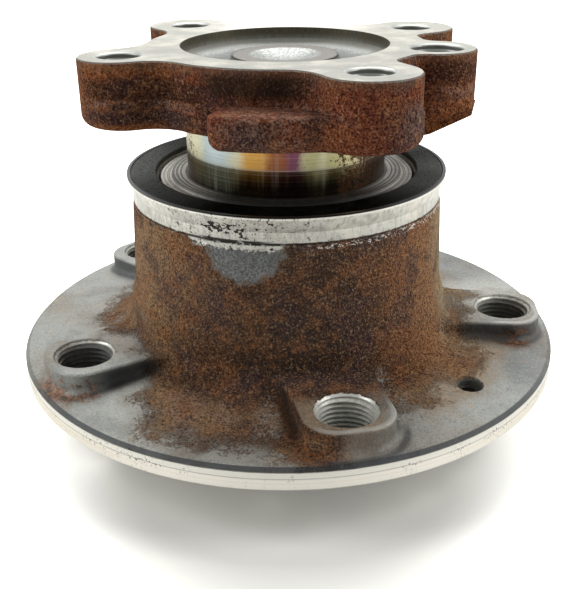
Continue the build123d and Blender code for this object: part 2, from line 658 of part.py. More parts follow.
def encoder_ring():
    """Magnetised rubber ring bonded on its carrier, under the sensor hole."""
    outer = LIP_RADIUS - LIP_WALL - ENCODER_SIDE_CLEARANCE
    base_z = MOUTH_Z + ENCODER_SHEET
    edge = (LIP_TOP_Z - base_z) / 4
    return turned_polygon(
        (ENCODER_BORE, base_z),
        (outer, base_z),
        (outer, LIP_TOP_Z - edge),
        (outer - edge, LIP_TOP_Z),
        (ENCODER_BORE + edge, LIP_TOP_Z),
        (ENCODER_BORE, LIP_TOP_Z - edge),
    )


def end_cap():
    """Pressed steel dust cap in the pilot, with a raised panel in its middle."""
    outer = PILOT_BORE - PRESS_CLEARANCE
    low_z = CAP_DEPTH
    panel_z = low_z + CAP_PANEL_RISE
    return turned_polygon(
        (0, panel_z),
        (CAP_PANEL_RADIUS, panel_z),
        (CAP_PANEL_RADIUS + CAP_PANEL_RISE, low_z),
        (outer, low_z),
        (outer, low_z + CAP_HEIGHT),
        (outer - CAP_SHEET, low_z + CAP_HEIGHT),
        (outer - CAP_SHEET, low_z + CAP_SHEET),
        (CAP_PANEL_RADIUS + CAP_PANEL_RISE, low_z + CAP_SHEET),
        (CAP_PANEL_RADIUS, panel_z + CAP_SHEET),
        (0, panel_z + CAP_SHEET),
    )


def pieces():
    """Every piece of the bearing by its name."""
    made = {
        "wheel_hub": wheel_hub(),
        "spindle": spindle(),
        "outboard_inner_ring": outboard_inner_ring(),
        "inboard_ball_cage": ball_cage(INBOARD_ROW_Z, 1),
        "outboard_ball_cage": ball_cage(OUTBOARD_ROW_Z, -1),
        "seal_slinger": seal_slinger(),
        "seal_carrier": seal_carrier(),
        "seal_lips": seal_lips(),
        "encoder_carrier": encoder_carrier(),
        "encoder_ring": encoder_ring(),
        "end_cap": end_cap(),
    }
    for row, row_z in (("inboard", INBOARD_ROW_Z), ("outboard", OUTBOARD_ROW_Z)):
        for index in range(BALLS_PER_ROW):
            made[f"{row}_ball_{index + 1:02d}"] = ball(row_z, index)
    return made


os.makedirs("parts", exist_ok=True)
for name, solid in pieces().items():
    export_step(solid, f"parts/{name}.step")
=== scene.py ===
"""Wheel hub bearing: finishes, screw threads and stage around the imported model.

Lengths are metres unless a name says millimetres. +Z runs along the bearing axis from
the wheel side to the knuckle side, and -Y faces the viewer.
"""

from math import cos, pi, radians, sin, tau

import bmesh
import bpy
from bpy.props import FloatProperty, FloatVectorProperty, IntProperty, PointerProperty
from mathutils import Matrix, Vector


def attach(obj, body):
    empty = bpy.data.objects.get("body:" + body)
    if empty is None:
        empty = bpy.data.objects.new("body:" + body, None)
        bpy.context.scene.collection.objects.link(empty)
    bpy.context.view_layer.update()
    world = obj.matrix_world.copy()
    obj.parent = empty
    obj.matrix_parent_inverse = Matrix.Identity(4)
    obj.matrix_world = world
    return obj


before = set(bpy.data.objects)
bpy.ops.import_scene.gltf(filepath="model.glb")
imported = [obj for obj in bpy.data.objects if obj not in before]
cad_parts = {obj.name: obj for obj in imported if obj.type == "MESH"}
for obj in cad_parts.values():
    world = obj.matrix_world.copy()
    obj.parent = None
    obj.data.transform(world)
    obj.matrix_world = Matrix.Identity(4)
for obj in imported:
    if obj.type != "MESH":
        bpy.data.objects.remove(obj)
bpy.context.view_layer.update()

bl_info = {
    "name": "Wheel hub bearing finishes",
    "version": (1, 0, 0),
    "blender": (4, 5, 0),
    "location": "View3D > Sidebar > Hub",
    "description": "Dresses the packed wheel hub bearing with its finishes, threads and stage",
    "category": "Object",
}

MM = 0.001

# Places in the model, in millimetres, as the solids have them
PILOT_END_Z = 14.0
RIM_TOP_Z = 20.0
BOSS_FACE_Z = 26.1
BOSS_COUNT = 5
BOSS_CIRCLE = 60.0
BOSS_START = -77.5
BOLT_HOLE = 7.0
DISC_HOLE = 3.0
DISC_HOLE_CIRCLE = 59.8
DISC_HOLE_ANGLE = BOSS_START + 180 / BOSS_COUNT
BOSS_CORNER = 8.0
BOSS_SIDE_STRAIGHT = 3.0
BOSS_END_STRAIGHT = 1.6
BAND_Z = 57.8
KNUCKLE_FACE_Z = 97.5
KNUCKLE_HOLE_CIRCLE = 42.3
KNUCKLE_HOLE_ANGLES = (-64.3, 34.3, 129.5, -158.7)
SENSOR_CIRCLE = 38.1
SENSOR_ANGLE = -14.2

# Corners of a thread ridge, each by its share of the height and of the pitch
THREAD_PROFILE = ((0.0, 0.06), (1.0, 0.42), (1.0, 0.58), (0.0, 0.94))

# How deep a ridge is rooted in the wall in millimetres, how much of its height it gains in a turn
# at its ends, and the share of the height that it starts from
THREAD_ROOT = 0.04
THREAD_FADE = 3
THREAD_LEAST = 0.02

# Where the ridges start, in millimetres over the end of the pilot
BOLT_THREAD_RISE = 0.4
SCREW_THREAD_RISE = 0.8
SCREW_RUN_IN = 0.2

# Width of the camera's sensor, in millimetres
SENSOR_MM = 36.0

# Floor: how far it lies under the hub and half its width, in metres
FLOOR_DROP = 0.0002
FLOOR_HALF = 4.0

# Soft edge of the shadow: its place and stretch on the floor, its two distances in metres, and the
# floor's glow at each
SHADOW_SHIFT = (0.0, 0.004, 0.0)
SHADOW_SCALE = (1.9, 1.15, 1.0)
SHADOW_EDGE = (0.089, 0.142)
FLOOR_GLOW = (0.3, 5.5)

# Lamps and the point that they face, in metres
LAMP_AIM = (0.0, 0.0, 0.05)
TOP_PLACE = (0.0, 0.5, 0.8)
LEFT_PLACE = (-0.75, -0.1, 0.35)
RIGHT_PLACE = (0.75, -0.1, 0.35)
FRONT_PLACE = (0.1, -0.9, 0.5)


def in_plan(radius, angle):
    """X and Y of a point at a radius and an angle from +X, in degrees."""
    return radius * cos(radians(angle)), radius * sin(radians(angle))


def from_byte(red, green, blue):
    """A screen colour of 0 to 255 as the linear colour that shaders take."""
    def linear(byte):
        share = byte / 255
        return share / 12.92 if share <= 0.04045 else ((share + 0.055) / 1.055) ** 2.4
    return (linear(red), linear(green), linear(blue))


def colour_choice(name, description, red, green, blue):
    """A colour that a user can change, given as a screen colour."""
    return FloatVectorProperty(
        name=name, description=description, default=from_byte(red, green, blue),
        subtype="COLOR", size=3, min=0.0, max=1.0,
    )


def length_choice(name, description, millimetres, least=0.0):
    """A length that a user can change, given in millimetres."""
    return FloatProperty(
        name=name, description=description, default=millimetres * MM, unit="LENGTH",
        min=least * MM, precision=5,
    )


class HubThreadSizes(bpy.types.PropertyGroup):
    """Sizes of the screw threads cut in the wheel flange."""

    bolt_pitch: length_choice("Bolt pitch", "Pitch of the wheel bolt threads", 1.25)
    bolt_ridge: length_choice("Bolt ridge", "Height of a wheel bolt thread ridge", 0.68)
    bolt_run_in: length_choice("Bolt run-in", "Plain length under the boss face", 0.9)
    screw_pitch: length_choice("Screw pitch", "Pitch of the disc screw thread", 1.0)
    screw_ridge: length_choice("Screw ridge", "Height of a disc screw thread ridge", 0.5)
    steps: IntProperty(
        name="Steps", description="Corners in one turn of a thread", default=56, min=12
    )


class HubColours(bpy.types.PropertyGroup):
    """Colours of the bare, rusty and tinted steel, the rubber and the plastic."""

    forging: colour_choice("Forging", "Bare forged steel of the wheel flange", 122, 124, 121)
    forging_dark: colour_choice("Dark forging", "Dark scale on the wheel flange", 72, 74, 75)
    # Dark edge: the flange's dark rounded edge, and also painted shade on the boss walls
    dark_edge_and_shade: colour_choice("Flange edge", "Dark rounded edge of the wheel flange", 58, 60, 62)
    forging_blue: colour_choice("Blue forging", "Bare patch on the neck", 122, 128, 130)
    # Pale forging: worn scale, and also painted light and painted highlights on the wheel flange
    pale_forging_and_light: colour_choice("Pale forging", "Pale grey where the scale is worn", 168, 170, 164)
    stain: colour_choice("Stain", "Thin brown stain on the flange", 112, 97, 78)
    # Dark rust: old rust in the hollows, and also painted shade on the neck and the knuckle flange
    dark_rust_and_shade: colour_choice("Dark rust", "Oldest rust in the hollows", 46, 29, 20)
    rust_brown: colour_choice("Brown rust", "Most of the neck's rust", 112, 76, 48)
    rust_orange: colour_choice("Orange rust", "Fresh rust", 148, 94, 52)
    rust_tan: colour_choice("Tan rust", "Dusty rust on the grains", 168, 138, 102)
    rust_grey: colour_choice("Grey rust", "Greyish dust over the rust", 160, 142, 112)
    rust_hollow: colour_choice("Rust hollow", "Shade between the grains of rust", 101, 93, 89)
    rust_purple: colour_choice("Purple rust", "Purple-black patches", 66, 48, 50)
    rust_red: colour_choice("Red rust", "Red-brown rust of the knuckle flange", 118, 62, 42)
    # Pink rust on the wheel flange, and also painted highlights on the knuckle flange's shelves and lobes
    pink_rust_and_highlight: colour_choice("Pink rust", "Pale worn edges of the knuckle flange", 150, 122, 108)
    machined: colour_choice("Machined", "Machined steel of the band and the wheel face", 196, 195, 187)
    # White steel: shining machined edges and chips, and also painted light, highlights and reflection on
    # the band, the face and the seal
    white_steel_and_highlight: colour_choice("White steel", "Machined edges that shine", 234, 232, 224)
    cream: colour_choice("Cream", "Machined rim with a warm cast", 236, 229, 214)
    # Painted light on the front of the rim
    rim_lit_front: colour_choice("Rim front", "Lightest part of the rim", 247, 243, 235)
    face: colour_choice("Face", "Ground knuckle face", 166, 165, 154)
    recess_dark: colour_choice("Recess wall", "Dark wall of the recess", 66, 66, 56)
    recess_floor: colour_choice("Recess floor", "Turned floor of the recess", 118, 121, 120)
    ground: colour_choice("Ground", "Ground steel of the shaft and the bores", 188, 188, 180)
    temper_straw: colour_choice("Straw temper", "Pale straw heat tint of the shaft", 206, 202, 170)
    temper_gold: colour_choice("Gold temper", "Gold heat tint", 214, 160, 76)
    temper_brown: colour_choice("Brown temper", "Brown heat tint", 150, 86, 54)
    temper_purple: colour_choice("Purple temper", "Purple heat tint", 122, 68, 94)
    temper_blue: colour_choice("Blue temper", "Blue-grey heat tint", 158, 174, 180)
    temper_olive: colour_choice("Olive temper", "Olive heat tint", 174, 168, 118)
    # Painted shade over the lower shaft near the seal
    shaft_shade: colour_choice("Shaft shade", "Film that darkens the shaft near the seal", 120, 112, 90)
    # Grime: dirt in lines and pits, and also painted shade in creases, in bores and holes, low on the
    # shaft and in front of the seal
    grime_and_shade: colour_choice("Grime", "Black dirt in lines and pits", 18, 15, 12)
    rubber: colour_choice("Rubber", "Black seal and encoder rubber", 7, 7, 6)
    dust: colour_choice("Dust", "Pale dust on the rubber", 96, 94, 88)
    seal: colour_choice("Seal", "Stamped steel of the seal", 178, 177, 168)
    nylon: colour_choice("Nylon", "Cages", 58, 46, 34)
    cap: colour_choice("Cap", "Zinc-plated dust cap", 176, 176, 168)


class HubStage(bpy.types.PropertyGroup):
    """Camera, lamps and floor."""

    lens: FloatProperty(
        name="Lens", description="Focal length on a 36 mm sensor", default=55.07 * MM,
        unit="CAMERA", min=0.01,
    )
    distance: length_choice("Distance", "From the camera to the point it looks at", 255.9)
    height: length_choice("Height", "Height of the point it looks at", 27.706)
    side: length_choice("Side", "How far right of the axis it looks", -0.067, least=-20.0)
    tilt: FloatProperty(
        name="Tilt", description="How far the camera looks down", default=radians(24.734),
        subtype="ANGLE",
    )
    roll: FloatProperty(
        name="Roll", description="Turn of the camera about its view", default=radians(-0.664),
        subtype="ANGLE",
    )
    floor: colour_choice("Floor", "Pale floor", 232, 231, 226)
    floor_glow: colour_choice("Floor glow", "Light added where the camera sees the floor", 120, 120, 118)
    world_light: FloatProperty(
        name="World light", description="Soft light from all round", default=0.07, min=0.0
    )
    top_light: FloatProperty(
        name="Top light", description="Softbox over the part", default=10.0, unit="POWER"
    )
    side_light: FloatProperty(
        name="Side light", description="Strip lights left and right", default=6.0, unit="POWER"
    )
    front_light: FloatProperty(
        name="Front light", description="Weak fill beside the camera", default=0.75, unit="POWER"
    )


class Nodes:
    """Shader nodes of one tree. Each method adds a node and gives back its output."""

    def __init__(self, tree):
        self.tree = tree

    def add(self, kind):
        return self.tree.nodes.new("ShaderNode" + kind)

    def join(self, source, socket):
        """Links an output, or sets a plain value, on a socket."""
        if isinstance(source, bpy.types.NodeSocket):
            self.tree.links.new(source, socket)
        elif isinstance(source, (int, float)):
            socket.default_value = source
        else:
            socket.default_value = (*source, 1.0) if len(socket.default_value) == 4 else source

    def math(self, operation, *values):
        node = self.add("Math")
        node.operation = operation
        for value, socket in zip(values, node.inputs):
            self.join(value, socket)
        return node.outputs[0]

    def rise(self, value, low, high, floor=0.0, top=1.0):
        """Smooth step from one value to another between two levels."""
        node = self.add("MapRange")
        node.interpolation_type = "SMOOTHSTEP"
        for number, socket in zip((value, low, high, floor, top), node.inputs):
            self.join(number, socket)
        return node.outputs[0]


class Paint(Nodes):
    """One finish in the model's own millimetres, with masks for its places and textures."""

    def __init__(self, name):
        self.material = bpy.data.materials.new(name)
        self.material.use_nodes = True
        super().__init__(self.material.node_tree)
        self.tree.nodes.clear()
        self.shader = self.add("BsdfPrincipled")
        self.join(self.shader.outputs["BSDF"], self.add("OutputMaterial").inputs["Surface"])
        self.place = self.scaled(self.add("TexCoord").outputs["Object"], 1 / MM)
        split = self.add("SeparateXYZ")
        self.join(self.place, split.inputs[0])
        self.x, self.y, self.z = split.outputs
        self.radius = self.length(self.x, self.y)
        self.angle = self.times(self.math("ARCTAN2", self.y, self.x), 180 / pi)

    def plus(self, first, *others):
        total = first
        for other in others:
            total = self.math("ADD", total, other)
        return total

    def minus(self, first, second):
        return self.math("SUBTRACT", first, second)

    def times(self, first, second):
        return self.math("MULTIPLY", first, second)

    def length(self, along, across):
        """Length of the slanting side of a right triangle."""
        return self.math("SQRT", self.plus(self.times(along, along), self.times(across, across)))

    def both(self, *shares):
        """Share where every mask holds."""
        result = shares[0]
        for share in shares[1:]:
            result = self.times(result, share)
        return result

    def either(self, *shares):
        """Share where any mask holds."""
        result = shares[0]
        for share in shares[1:]:
            result = self.math("MAXIMUM", result, share)
        return result

    def opposite(self, share):
        return self.minus(1.0, share)

    def scaled(self, vector, factor):
        """A place scaled alike in each direction, or by a factor for each."""
        node = self.add("VectorMath")
        if isinstance(factor, tuple):
            node.operation = "MULTIPLY"
            self.join(factor, node.inputs[1])
        else:
            node.operation = "SCALE"
            self.join(factor, node.inputs["Scale"])
        self.join(vector, node.inputs[0])
        return node.outputs[0]

    def fall(self, value, low, high):
        return self.rise(value, low, high, 1.0, 0.0)

    def between(self, value, low, high, soft):
        """Share inside a range, with soft ends."""
        return self.both(
            self.rise(value, low - soft / 2, low + soft / 2),
            self.fall(value, high - soft / 2, high + soft / 2),
        )

    def away(self, angle):
        """Degrees round the axis from an angle, from -180 to 180."""
        return self.math("WRAP", self.minus(self.angle, angle), 180.0, -180.0)

    def near(self, angle, half, soft=0.5):
        """Share near an angle, which fades to none at half degrees away."""
        return self.fall(self.math("ABSOLUTE", self.away(angle)), half * (1 - soft), half)

    def offset_place(self, at):
        """The place moved, so that two textures of one scale don't line up."""
        node = self.add("VectorMath")
        node.operation = "ADD"
        self.join(self.place, node.inputs[0])
        self.join((at, at * 0.7, at * 1.3), node.inputs[1])
        return node.outputs[0]

    def noise(self, per_mm, detail=3.0, roughness=0.55, at=0.0, stretch=None, warp=0.0):
        """Cloudy noise with this many lumps in a millimetre."""
        node = self.add("TexNoise")
        place = self.offset_place(at) if at else self.place
        self.join(self.scaled(place, stretch) if stretch else place, node.inputs["Vector"])
        self.join(per_mm, node.inputs["Scale"])
        self.join(detail, node.inputs["Detail"])
        self.join(roughness, node.inputs["Roughness"])
        self.join(warp, node.inputs["Distortion"])
        return node.outputs[0]

    def cells(self, per_mm):
        """Distance to the nearest of scattered points."""
        node = self.add("TexVoronoi")
        self.join(self.place, node.inputs["Vector"])
        self.join(per_mm, node.inputs["Scale"])
        return node.outputs["Distance"]

    def wander(self, width, *look, **options):
        """Noise about zero, scaled by a width."""
        return self.times(self.minus(self.noise(*look, **options), 0.5), width)

    def patchy(self, low, high, *look, **options):
        """Share of patches: none where noise is under the low level, all over the high one."""
        return self.rise(self.noise(*look, **options), low, high)

    def rings(self, distance, per_mm, at=0.0, detail=2.0):
        """Noise that changes only with a distance, as turned lines do."""
        node = self.add("TexNoise")
        node.noise_dimensions = "1D"
        self.join(self.plus(distance, at), node.inputs["W"])
        self.join(per_mm, node.inputs["Scale"])
        self.join(detail, node.inputs["Detail"])
        return node.outputs[0]

    def mix(self, share, first, second, blend="MIX"):
        """Colour between two colours."""
        node = self.add("Mix")
        node.data_type = "RGBA"
        node.blend_type = blend
        self.join(share, node.inputs[0])
        self.join(first, node.inputs[6])
        self.join(second, node.inputs[7])
        return node.outputs[2]

    def layers(self, colour, *coats):
        """A colour under coats, each given as a mask, how much of it shows and its colour."""
        for mask, amount, coat in coats:
            share = mask if amount == 1.0 else self.times(mask, amount)
            colour = self.mix(share, colour, coat)
        return colour

    def relief(self, *heights):
        """Bumps one over the other, from pairs of a height share and a depth in millimetres."""
        normal = None
        for height, depth in heights:
            node = self.add("Bump")
            self.join(height, node.inputs["Height"])
            self.join(depth * MM, node.inputs["Distance"])
            self.join(1.0, node.inputs["Strength"])
            if normal:
                self.join(normal, node.inputs["Normal"])
            normal = node.outputs[0]
        self.join(normal, self.shader.inputs["Normal"])

    def surface(self, colour, roughness, metal=0.0, gloss=0.5):
        """Sets what the light sees."""
        self.shader.inputs["Specular IOR Level"].default_value = gloss
        self.join(colour, self.shader.inputs["Base Color"])
        self.join(roughness, self.shader.inputs["Roughness"])
        self.join(metal, self.shader.inputs["Metallic"])


def dress(material, *names):
    """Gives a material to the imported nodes."""
    for name in names:
        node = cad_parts[name]
        for slot in node.material_slots:
            slot.material = material


# Rust, which both forgings share

def grain_height(paint):
    """Fine grains over soft lumps, as a share."""
    fine = paint.noise(2.1, 2.0, 0.65)
    lumps = paint.noise(0.9, 3.0, 0.6, at=19.0)
    return paint.plus(paint.times(fine, 0.68), paint.times(lumps, 0.32))


def grainy_rust(paint, colours, body, orange_share, dust_share):
    """Rust in fine grains: dark hollows and dusty tops over patches of brown, purple and orange."""
    patches = paint.noise(0.09, 3.0, 0.6, at=3.0)
    orange_patches = paint.noise(0.17, 3.0, 0.6, at=41.0)
    hues = paint.noise(1.5, 3.0, 0.65, at=87.0)
    hue = paint.layers(
        body,
        (paint.rise(patches, 0.52, 0.4), 0.65, colours.rust_purple),
        (paint.rise(orange_patches, 0.47, 0.64), orange_share, colours.rust_orange),
        (paint.rise(hues, 0.46, 0.36), 0.45, colours.rust_purple),
        (paint.rise(hues, 0.52, 0.66), orange_share, colours.rust_orange),
    )
    hollow = paint.mix(1.0, hue, colours.rust_hollow, "MULTIPLY")
    height = grain_height(paint)
    tops = paint.mix(paint.times(paint.rise(height, 0.54, 0.64), dust_share), hue, colours.rust_tan)
    return paint.mix(paint.rise(height, 0.36, 0.56), hollow, tops)


# Wheel hub

def boss_places(paint):
    """Distance from the nearest wheel bolt hole, and from the outline of its boss."""
    step = 360 / BOSS_COUNT
    turn = paint.math("WRAP", paint.minus(paint.angle, BOSS_START), step / 2, -step / 2)
    turn = paint.times(turn, pi / 180)
    along = paint.minus(paint.times(paint.radius, paint.math("COSINE", turn)), BOSS_CIRCLE)
    across = paint.math("ABSOLUTE", paint.times(paint.radius, paint.math("SINE", turn)))
    hole = paint.length(along, across)
    beyond_end = paint.math("MAXIMUM", paint.minus(along, BOSS_END_STRAIGHT), 0.0)
    beyond_side = paint.math("MAXIMUM", paint.minus(across, BOSS_SIDE_STRAIGHT), 0.0)
    outline = paint.minus(paint.length(beyond_end, beyond_side), BOSS_CORNER)
    return hole, outline


def flat_distance(paint, radius, angle):
    """Distance in plan from a point."""
    x, y = in_plan(radius, angle)
    return paint.length(paint.minus(paint.x, x), paint.minus(paint.y, y))


def bare_forging(paint, colours):
    """Grey scale of the wheel flange, with painted light at the left, front and right, and thin brown
    stains.
    """
    cloud = paint.noise(0.06, 3.0, 0.55, at=5.0)
    mottle = paint.noise(0.3, 4.0, 0.65, at=11.0)
    grain = paint.noise(2.4, 3.0, 0.7, at=13.0)
    speckle = paint.noise(1.3, 4.0, 0.75, at=15.0)
    stained = paint.noise(0.05, 3.0, 0.55, at=29.0)
    # Painted light: lighter grey at the left, front and right of the flange
    pale = paint.either(
        paint.times(paint.near(180.0, 75.0), 0.45), paint.times(paint.near(-55.0, 30.0), 0.6),
        paint.near(-104.0, 60.0, 0.6), paint.near(6.0, 24.0, 0.6),
    )
    return paint.layers(
        colours.forging,
        (pale, 0.75, colours.pale_forging_and_light),
        (paint.rise(cloud, 0.46, 0.64), 0.36, colours.forging_dark),
        (paint.rise(stained, 0.48, 0.64), 0.4, colours.stain),
        (paint.rise(mottle, 0.55, 0.72), 0.3, colours.rust_tan),
        (paint.rise(speckle, 0.46, 0.36), 0.35, colours.forging_dark),
        (paint.rise(speckle, 0.55, 0.66), 0.3, colours.pale_forging_and_light),
        (paint.rise(grain, 0.45, 0.34), 0.4, colours.grime_and_shade),
        (paint.rise(grain, 0.57, 0.7), 0.3, colours.machined),
    )


def neck_rust_gap(paint):
    """How far outside the soft edge of the neck's rust a point lies, in millimetres."""
    edge = paint.plus(
        49.5,
        paint.times(paint.near(-100.0, 40.0, 0.6), 18.5),
        paint.times(paint.near(-54.0, 46.0, 0.6), 8.5),
        paint.times(paint.near(175.0, 26.0, 0.7), 2.0),
    )
    wander = paint.wander(22.0, 0.1, 2.0, 0.5, at=23.0)
    ragged = paint.wander(8.0, 0.5, 3.0, 0.6, at=24.0)
    return paint.minus(paint.plus(paint.radius, wander, ragged), edge)


def neck_bare_patch(paint):
    """Grey patch under the band, round below."""
    turned = paint.times(paint.away(-104.5), 1 / 13.0)
    depth = paint.times(paint.minus(BAND_Z, paint.z), 1 / 8.6)
    ragged = paint.wander(0.7, 0.5, 4.0, 0.65, at=31.0)
    reach = paint.plus(paint.length(turned, depth), ragged)
    return paint.both(paint.fall(reach, 0.85, 1.12), paint.rise(paint.z, 44.0, 46.0))


def foot_shade_and_rust(paint, outline):
    """Shares of the painted shade on the boss walls and in the creases at their feet, and of the rust
    there.
    """
    outside = paint.rise(paint.radius, 46.0, 49.0)
    front_end = paint.both(paint.near(-74.0, 12.0, 0.3), paint.rise(paint.radius, 64.0, 67.0))
    wall = paint.both(
        paint.rise(outline, -0.7, -0.1), paint.fall(outline, 0.6, 2.2),
        paint.fall(paint.z, 25.2, 26.0), outside,
        paint.opposite(paint.both(paint.near(-152.0, 14.0, 0.3), paint.rise(paint.radius, 62.0, 65.0))),
        paint.opposite(paint.times(front_end, 0.6)),
    )
    crevice_shade = paint.both(
        paint.rise(outline, -0.5, 0.3), paint.fall(outline, 1.0, 3.6), paint.fall(paint.z, 24.2, 26.0),
        paint.either(
            paint.both(paint.near(-142.0, 9.0, 0.6), paint.fall(paint.radius, 58.0, 63.0)),
            paint.both(paint.near(-12.0, 7.0, 0.7), paint.fall(paint.radius, 60.0, 65.0)),
            paint.both(paint.near(-89.5, 6.0, 0.7), paint.fall(paint.radius, 60.0, 68.0)),
        ),
    )
    ragged = paint.plus(outline, paint.wander(8.0, 0.4, 3.0, 0.6, at=37.0))
    strip = paint.both(
        paint.rise(ragged, -0.6, 1.0), paint.fall(ragged, 1.8, 5.0), paint.fall(paint.z, 23.6, 25.8)
    )
    where = paint.either(
        paint.both(paint.near(-89.5, 8.0), paint.rise(paint.radius, 46.0, 50.0)),
        paint.both(paint.near(-144.0, 10.0), paint.rise(paint.radius, 60.0, 64.0)),
        paint.both(paint.near(-14.5, 6.0), paint.between(paint.radius, 59.0, 67.0, 4.0)),
    )
    return wall, crevice_shade, paint.both(strip, where)


def hub_machined(paint, hole_distance, screw_distance):
    """Shares of the hub that are cut bright: holes, rim, band, pilot and wheel face."""
    outside = paint.rise(paint.radius, 46.0, 47.0)
    chips = paint.wander(0.9, 1.2, 3.0, 0.6, at=42.0)
    bores = paint.both(
        paint.either(
            paint.fall(paint.plus(hole_distance, chips), 7.45, 7.6),
            paint.fall(paint.plus(screw_distance, chips), 3.2, 3.4),
        ),
        outside,
    )
    ragged = paint.wander(4.6, 1.3, 4.0, 0.75, at=43.0)
    worn = paint.times(paint.near(-108.0, 19.0, 0.3), 1.7)
    band = paint.rise(paint.plus(paint.z, ragged, worn), BAND_Z + 0.95, BAND_Z + 1.35)
    rim = paint.both(paint.rise(paint.radius, 72.9, 73.05), paint.fall(paint.z, 19.0, 19.3))
    under = paint.fall(paint.z, PILOT_END_Z + 0.6, PILOT_END_Z + 1.0)
    inside = paint.fall(paint.radius, 39.0, 40.0)
    return bores, band, rim, paint.either(under, inside)


def band_colour(paint, colours):
    """Machined band with a pitted front, a black line in its groove, a soft grey cloud, painted light on
    its flare and a painted highlight along its top edge.
    """
    pits = paint.noise(1.0, 3.0, 0.6, at=47.0)
    groups = paint.noise(0.2, 3.0, 0.6, at=53.0)
    cluster = paint.both(paint.near(-112.0, 10.0, 0.6), paint.between(paint.z, 61.0, 63.6, 1.6))
    front = paint.plus(0.1, paint.times(paint.near(-108.0, 50.0, 0.8), 0.9))
    pitted = paint.both(
        paint.rise(paint.plus(pits, paint.times(cluster, 0.1)), 0.585, 0.62),
        paint.rise(paint.plus(groups, paint.times(cluster, 0.2)), 0.48, 0.54), front,
    )
    freckles = paint.both(paint.patchy(0.62, 0.67, 2.6, 2.0, 0.5, at=59.0), front)
    cloud = paint.patchy(0.42, 0.66, 0.25, 4.0, 0.65, at=61.0)
    brushed = paint.noise(1.4, 3.0, 0.6, at=62.0, stretch=(1.0, 1.0, 0.25))
    warm = paint.patchy(0.5, 0.68, 0.15, 3.0, 0.6, at=64.0)
    groove = paint.both(
        paint.either(
            paint.between(paint.z, BAND_Z + 0.8, BAND_Z + 1.45, 0.3),
            paint.both(paint.between(paint.z, BAND_Z + 0.7, BAND_Z + 1.8, 0.3), paint.near(-108.0, 16.0)),
        ),
        paint.patchy(0.3, 0.45, 0.7, 3.0, 0.6, at=65.0),
    )
    sides = paint.either(paint.near(180.0, 80.0, 0.6), paint.near(0.0, 70.0, 0.6))
    lip_top = paint.mix(sides, colours.grime_and_shade, colours.forging_dark)
    # Painted light on the flare, and a painted highlight along the band's top edge
    flare_light = paint.rise(paint.z, 59.6, 64.4)
    edge = paint.rise(paint.z, 64.9, 65.3)
    return paint.layers(
        colours.machined,
        (flare_light, 0.8, colours.white_steel_and_highlight),
        (cloud, 0.55, colours.seal),
        (paint.rise(brushed, 0.48, 0.64), 0.4, colours.forging),
        (warm, 0.25, colours.cream),
        (edge, 0.8, colours.white_steel_and_highlight),
        (freckles, 0.75, colours.grime_and_shade),
        (pitted, 0.95, colours.grime_and_shade),
        (groove, 0.95, colours.grime_and_shade),
        (paint.rise(paint.z, 65.5, 65.7), 1.0, lip_top),
    )


def bore_colour(paint, colours, dull_shaded_bores):
    """Threaded bores with painted shade, which darkens them as they go down and more in the bores away
    from the front.
    """
    deep_shade = paint.fall(paint.z, 16.0, 25.0)
    film = paint.patchy(0.4, 0.7, 0.8, 4.0, 0.65, at=93.0)
    return paint.layers(
        colours.ground,
        (film, 0.35, colours.forging_dark),
        # Painted shade down the bores, and in the bores away from the front boss
        (deep_shade, 0.6, colours.grime_and_shade),
        (dull_shaded_bores, 0.72, colours.grime_and_shade),
    )


def rim_colour(paint, colours):
    """Cream turned rim with a white edge, a thin dark line and small specks, with painted light in front
    and painted shade that dulls its sides.
    """
    lines = paint.rings(paint.z, 2.2, at=3.0)
    groups = paint.patchy(0.4, 0.56, 0.12, 2.0, 0.5, at=71.0)
    near_line = paint.either(paint.between(paint.z, 16.6, 18.2, 0.8), 0.35)
    specks = paint.both(paint.patchy(0.58, 0.62, 1.7, 3.0, 0.65, at=67.0), groups, near_line)
    line = paint.between(paint.z, 17.4, 17.62, 0.14)
    white = paint.rise(paint.z, 17.5, 17.7)
    return paint.layers(
        colours.cream,
        # Painted light on the front of the rim
        (paint.near(-86.0, 60.0, 0.7), 0.8, colours.rim_lit_front),
        (paint.rise(lines, 0.45, 0.7), 0.12, colours.seal),
        (white, 0.85, colours.white_steel_and_highlight),
        (line, 0.45, colours.grime_and_shade),
        # Painted shade at the sides of the rim
        (paint.opposite(paint.near(-90.0, 70.0, 0.7)), 0.2, colours.seal),
        (specks, 0.85, colours.grime_and_shade),
    )


def neck_rust_body(paint, colours):
    """Brown of the neck's rust: painted shade darkens it in front and most at the foot in front; tan to
    the left, partly as painted light, and grey to the right.
    """
    low = paint.fall(paint.z, 27.0, 45.0)
    inner = paint.fall(paint.radius, 47.0, 56.0)
    plate = paint.both(paint.fall(paint.z, 21.8, 25.5), paint.rise(paint.radius, 47.0, 54.0))
    pinkish = paint.patchy(0.44, 0.56, 0.18, 3.0, 0.6, at=97.0)
    return paint.layers(
        colours.rust_brown,
        # Painted shade in front and in the fillet at the foot; the tan to the left is partly painted
        # light
        (paint.near(-78.0, 48.0, 0.7), 0.74, colours.dark_rust_and_shade),
        (paint.near(-158.0, 46.0, 0.8), 0.6, colours.rust_tan),
        (paint.both(low, inner, paint.near(-84.0, 72.0, 0.6)), 0.78, colours.dark_rust_and_shade),
        (paint.near(-34.0, 34.0, 0.8), 0.6, colours.rust_orange),
        (paint.near(-22.0, 30.0, 0.8), 0.4, colours.rust_tan),
        (paint.near(4.0, 38.0, 0.5), 0.9, colours.rust_grey),
        (plate, 0.6, colours.rust_tan),
        (paint.both(plate, pinkish), 0.5, colours.pink_rust_and_highlight),
    )


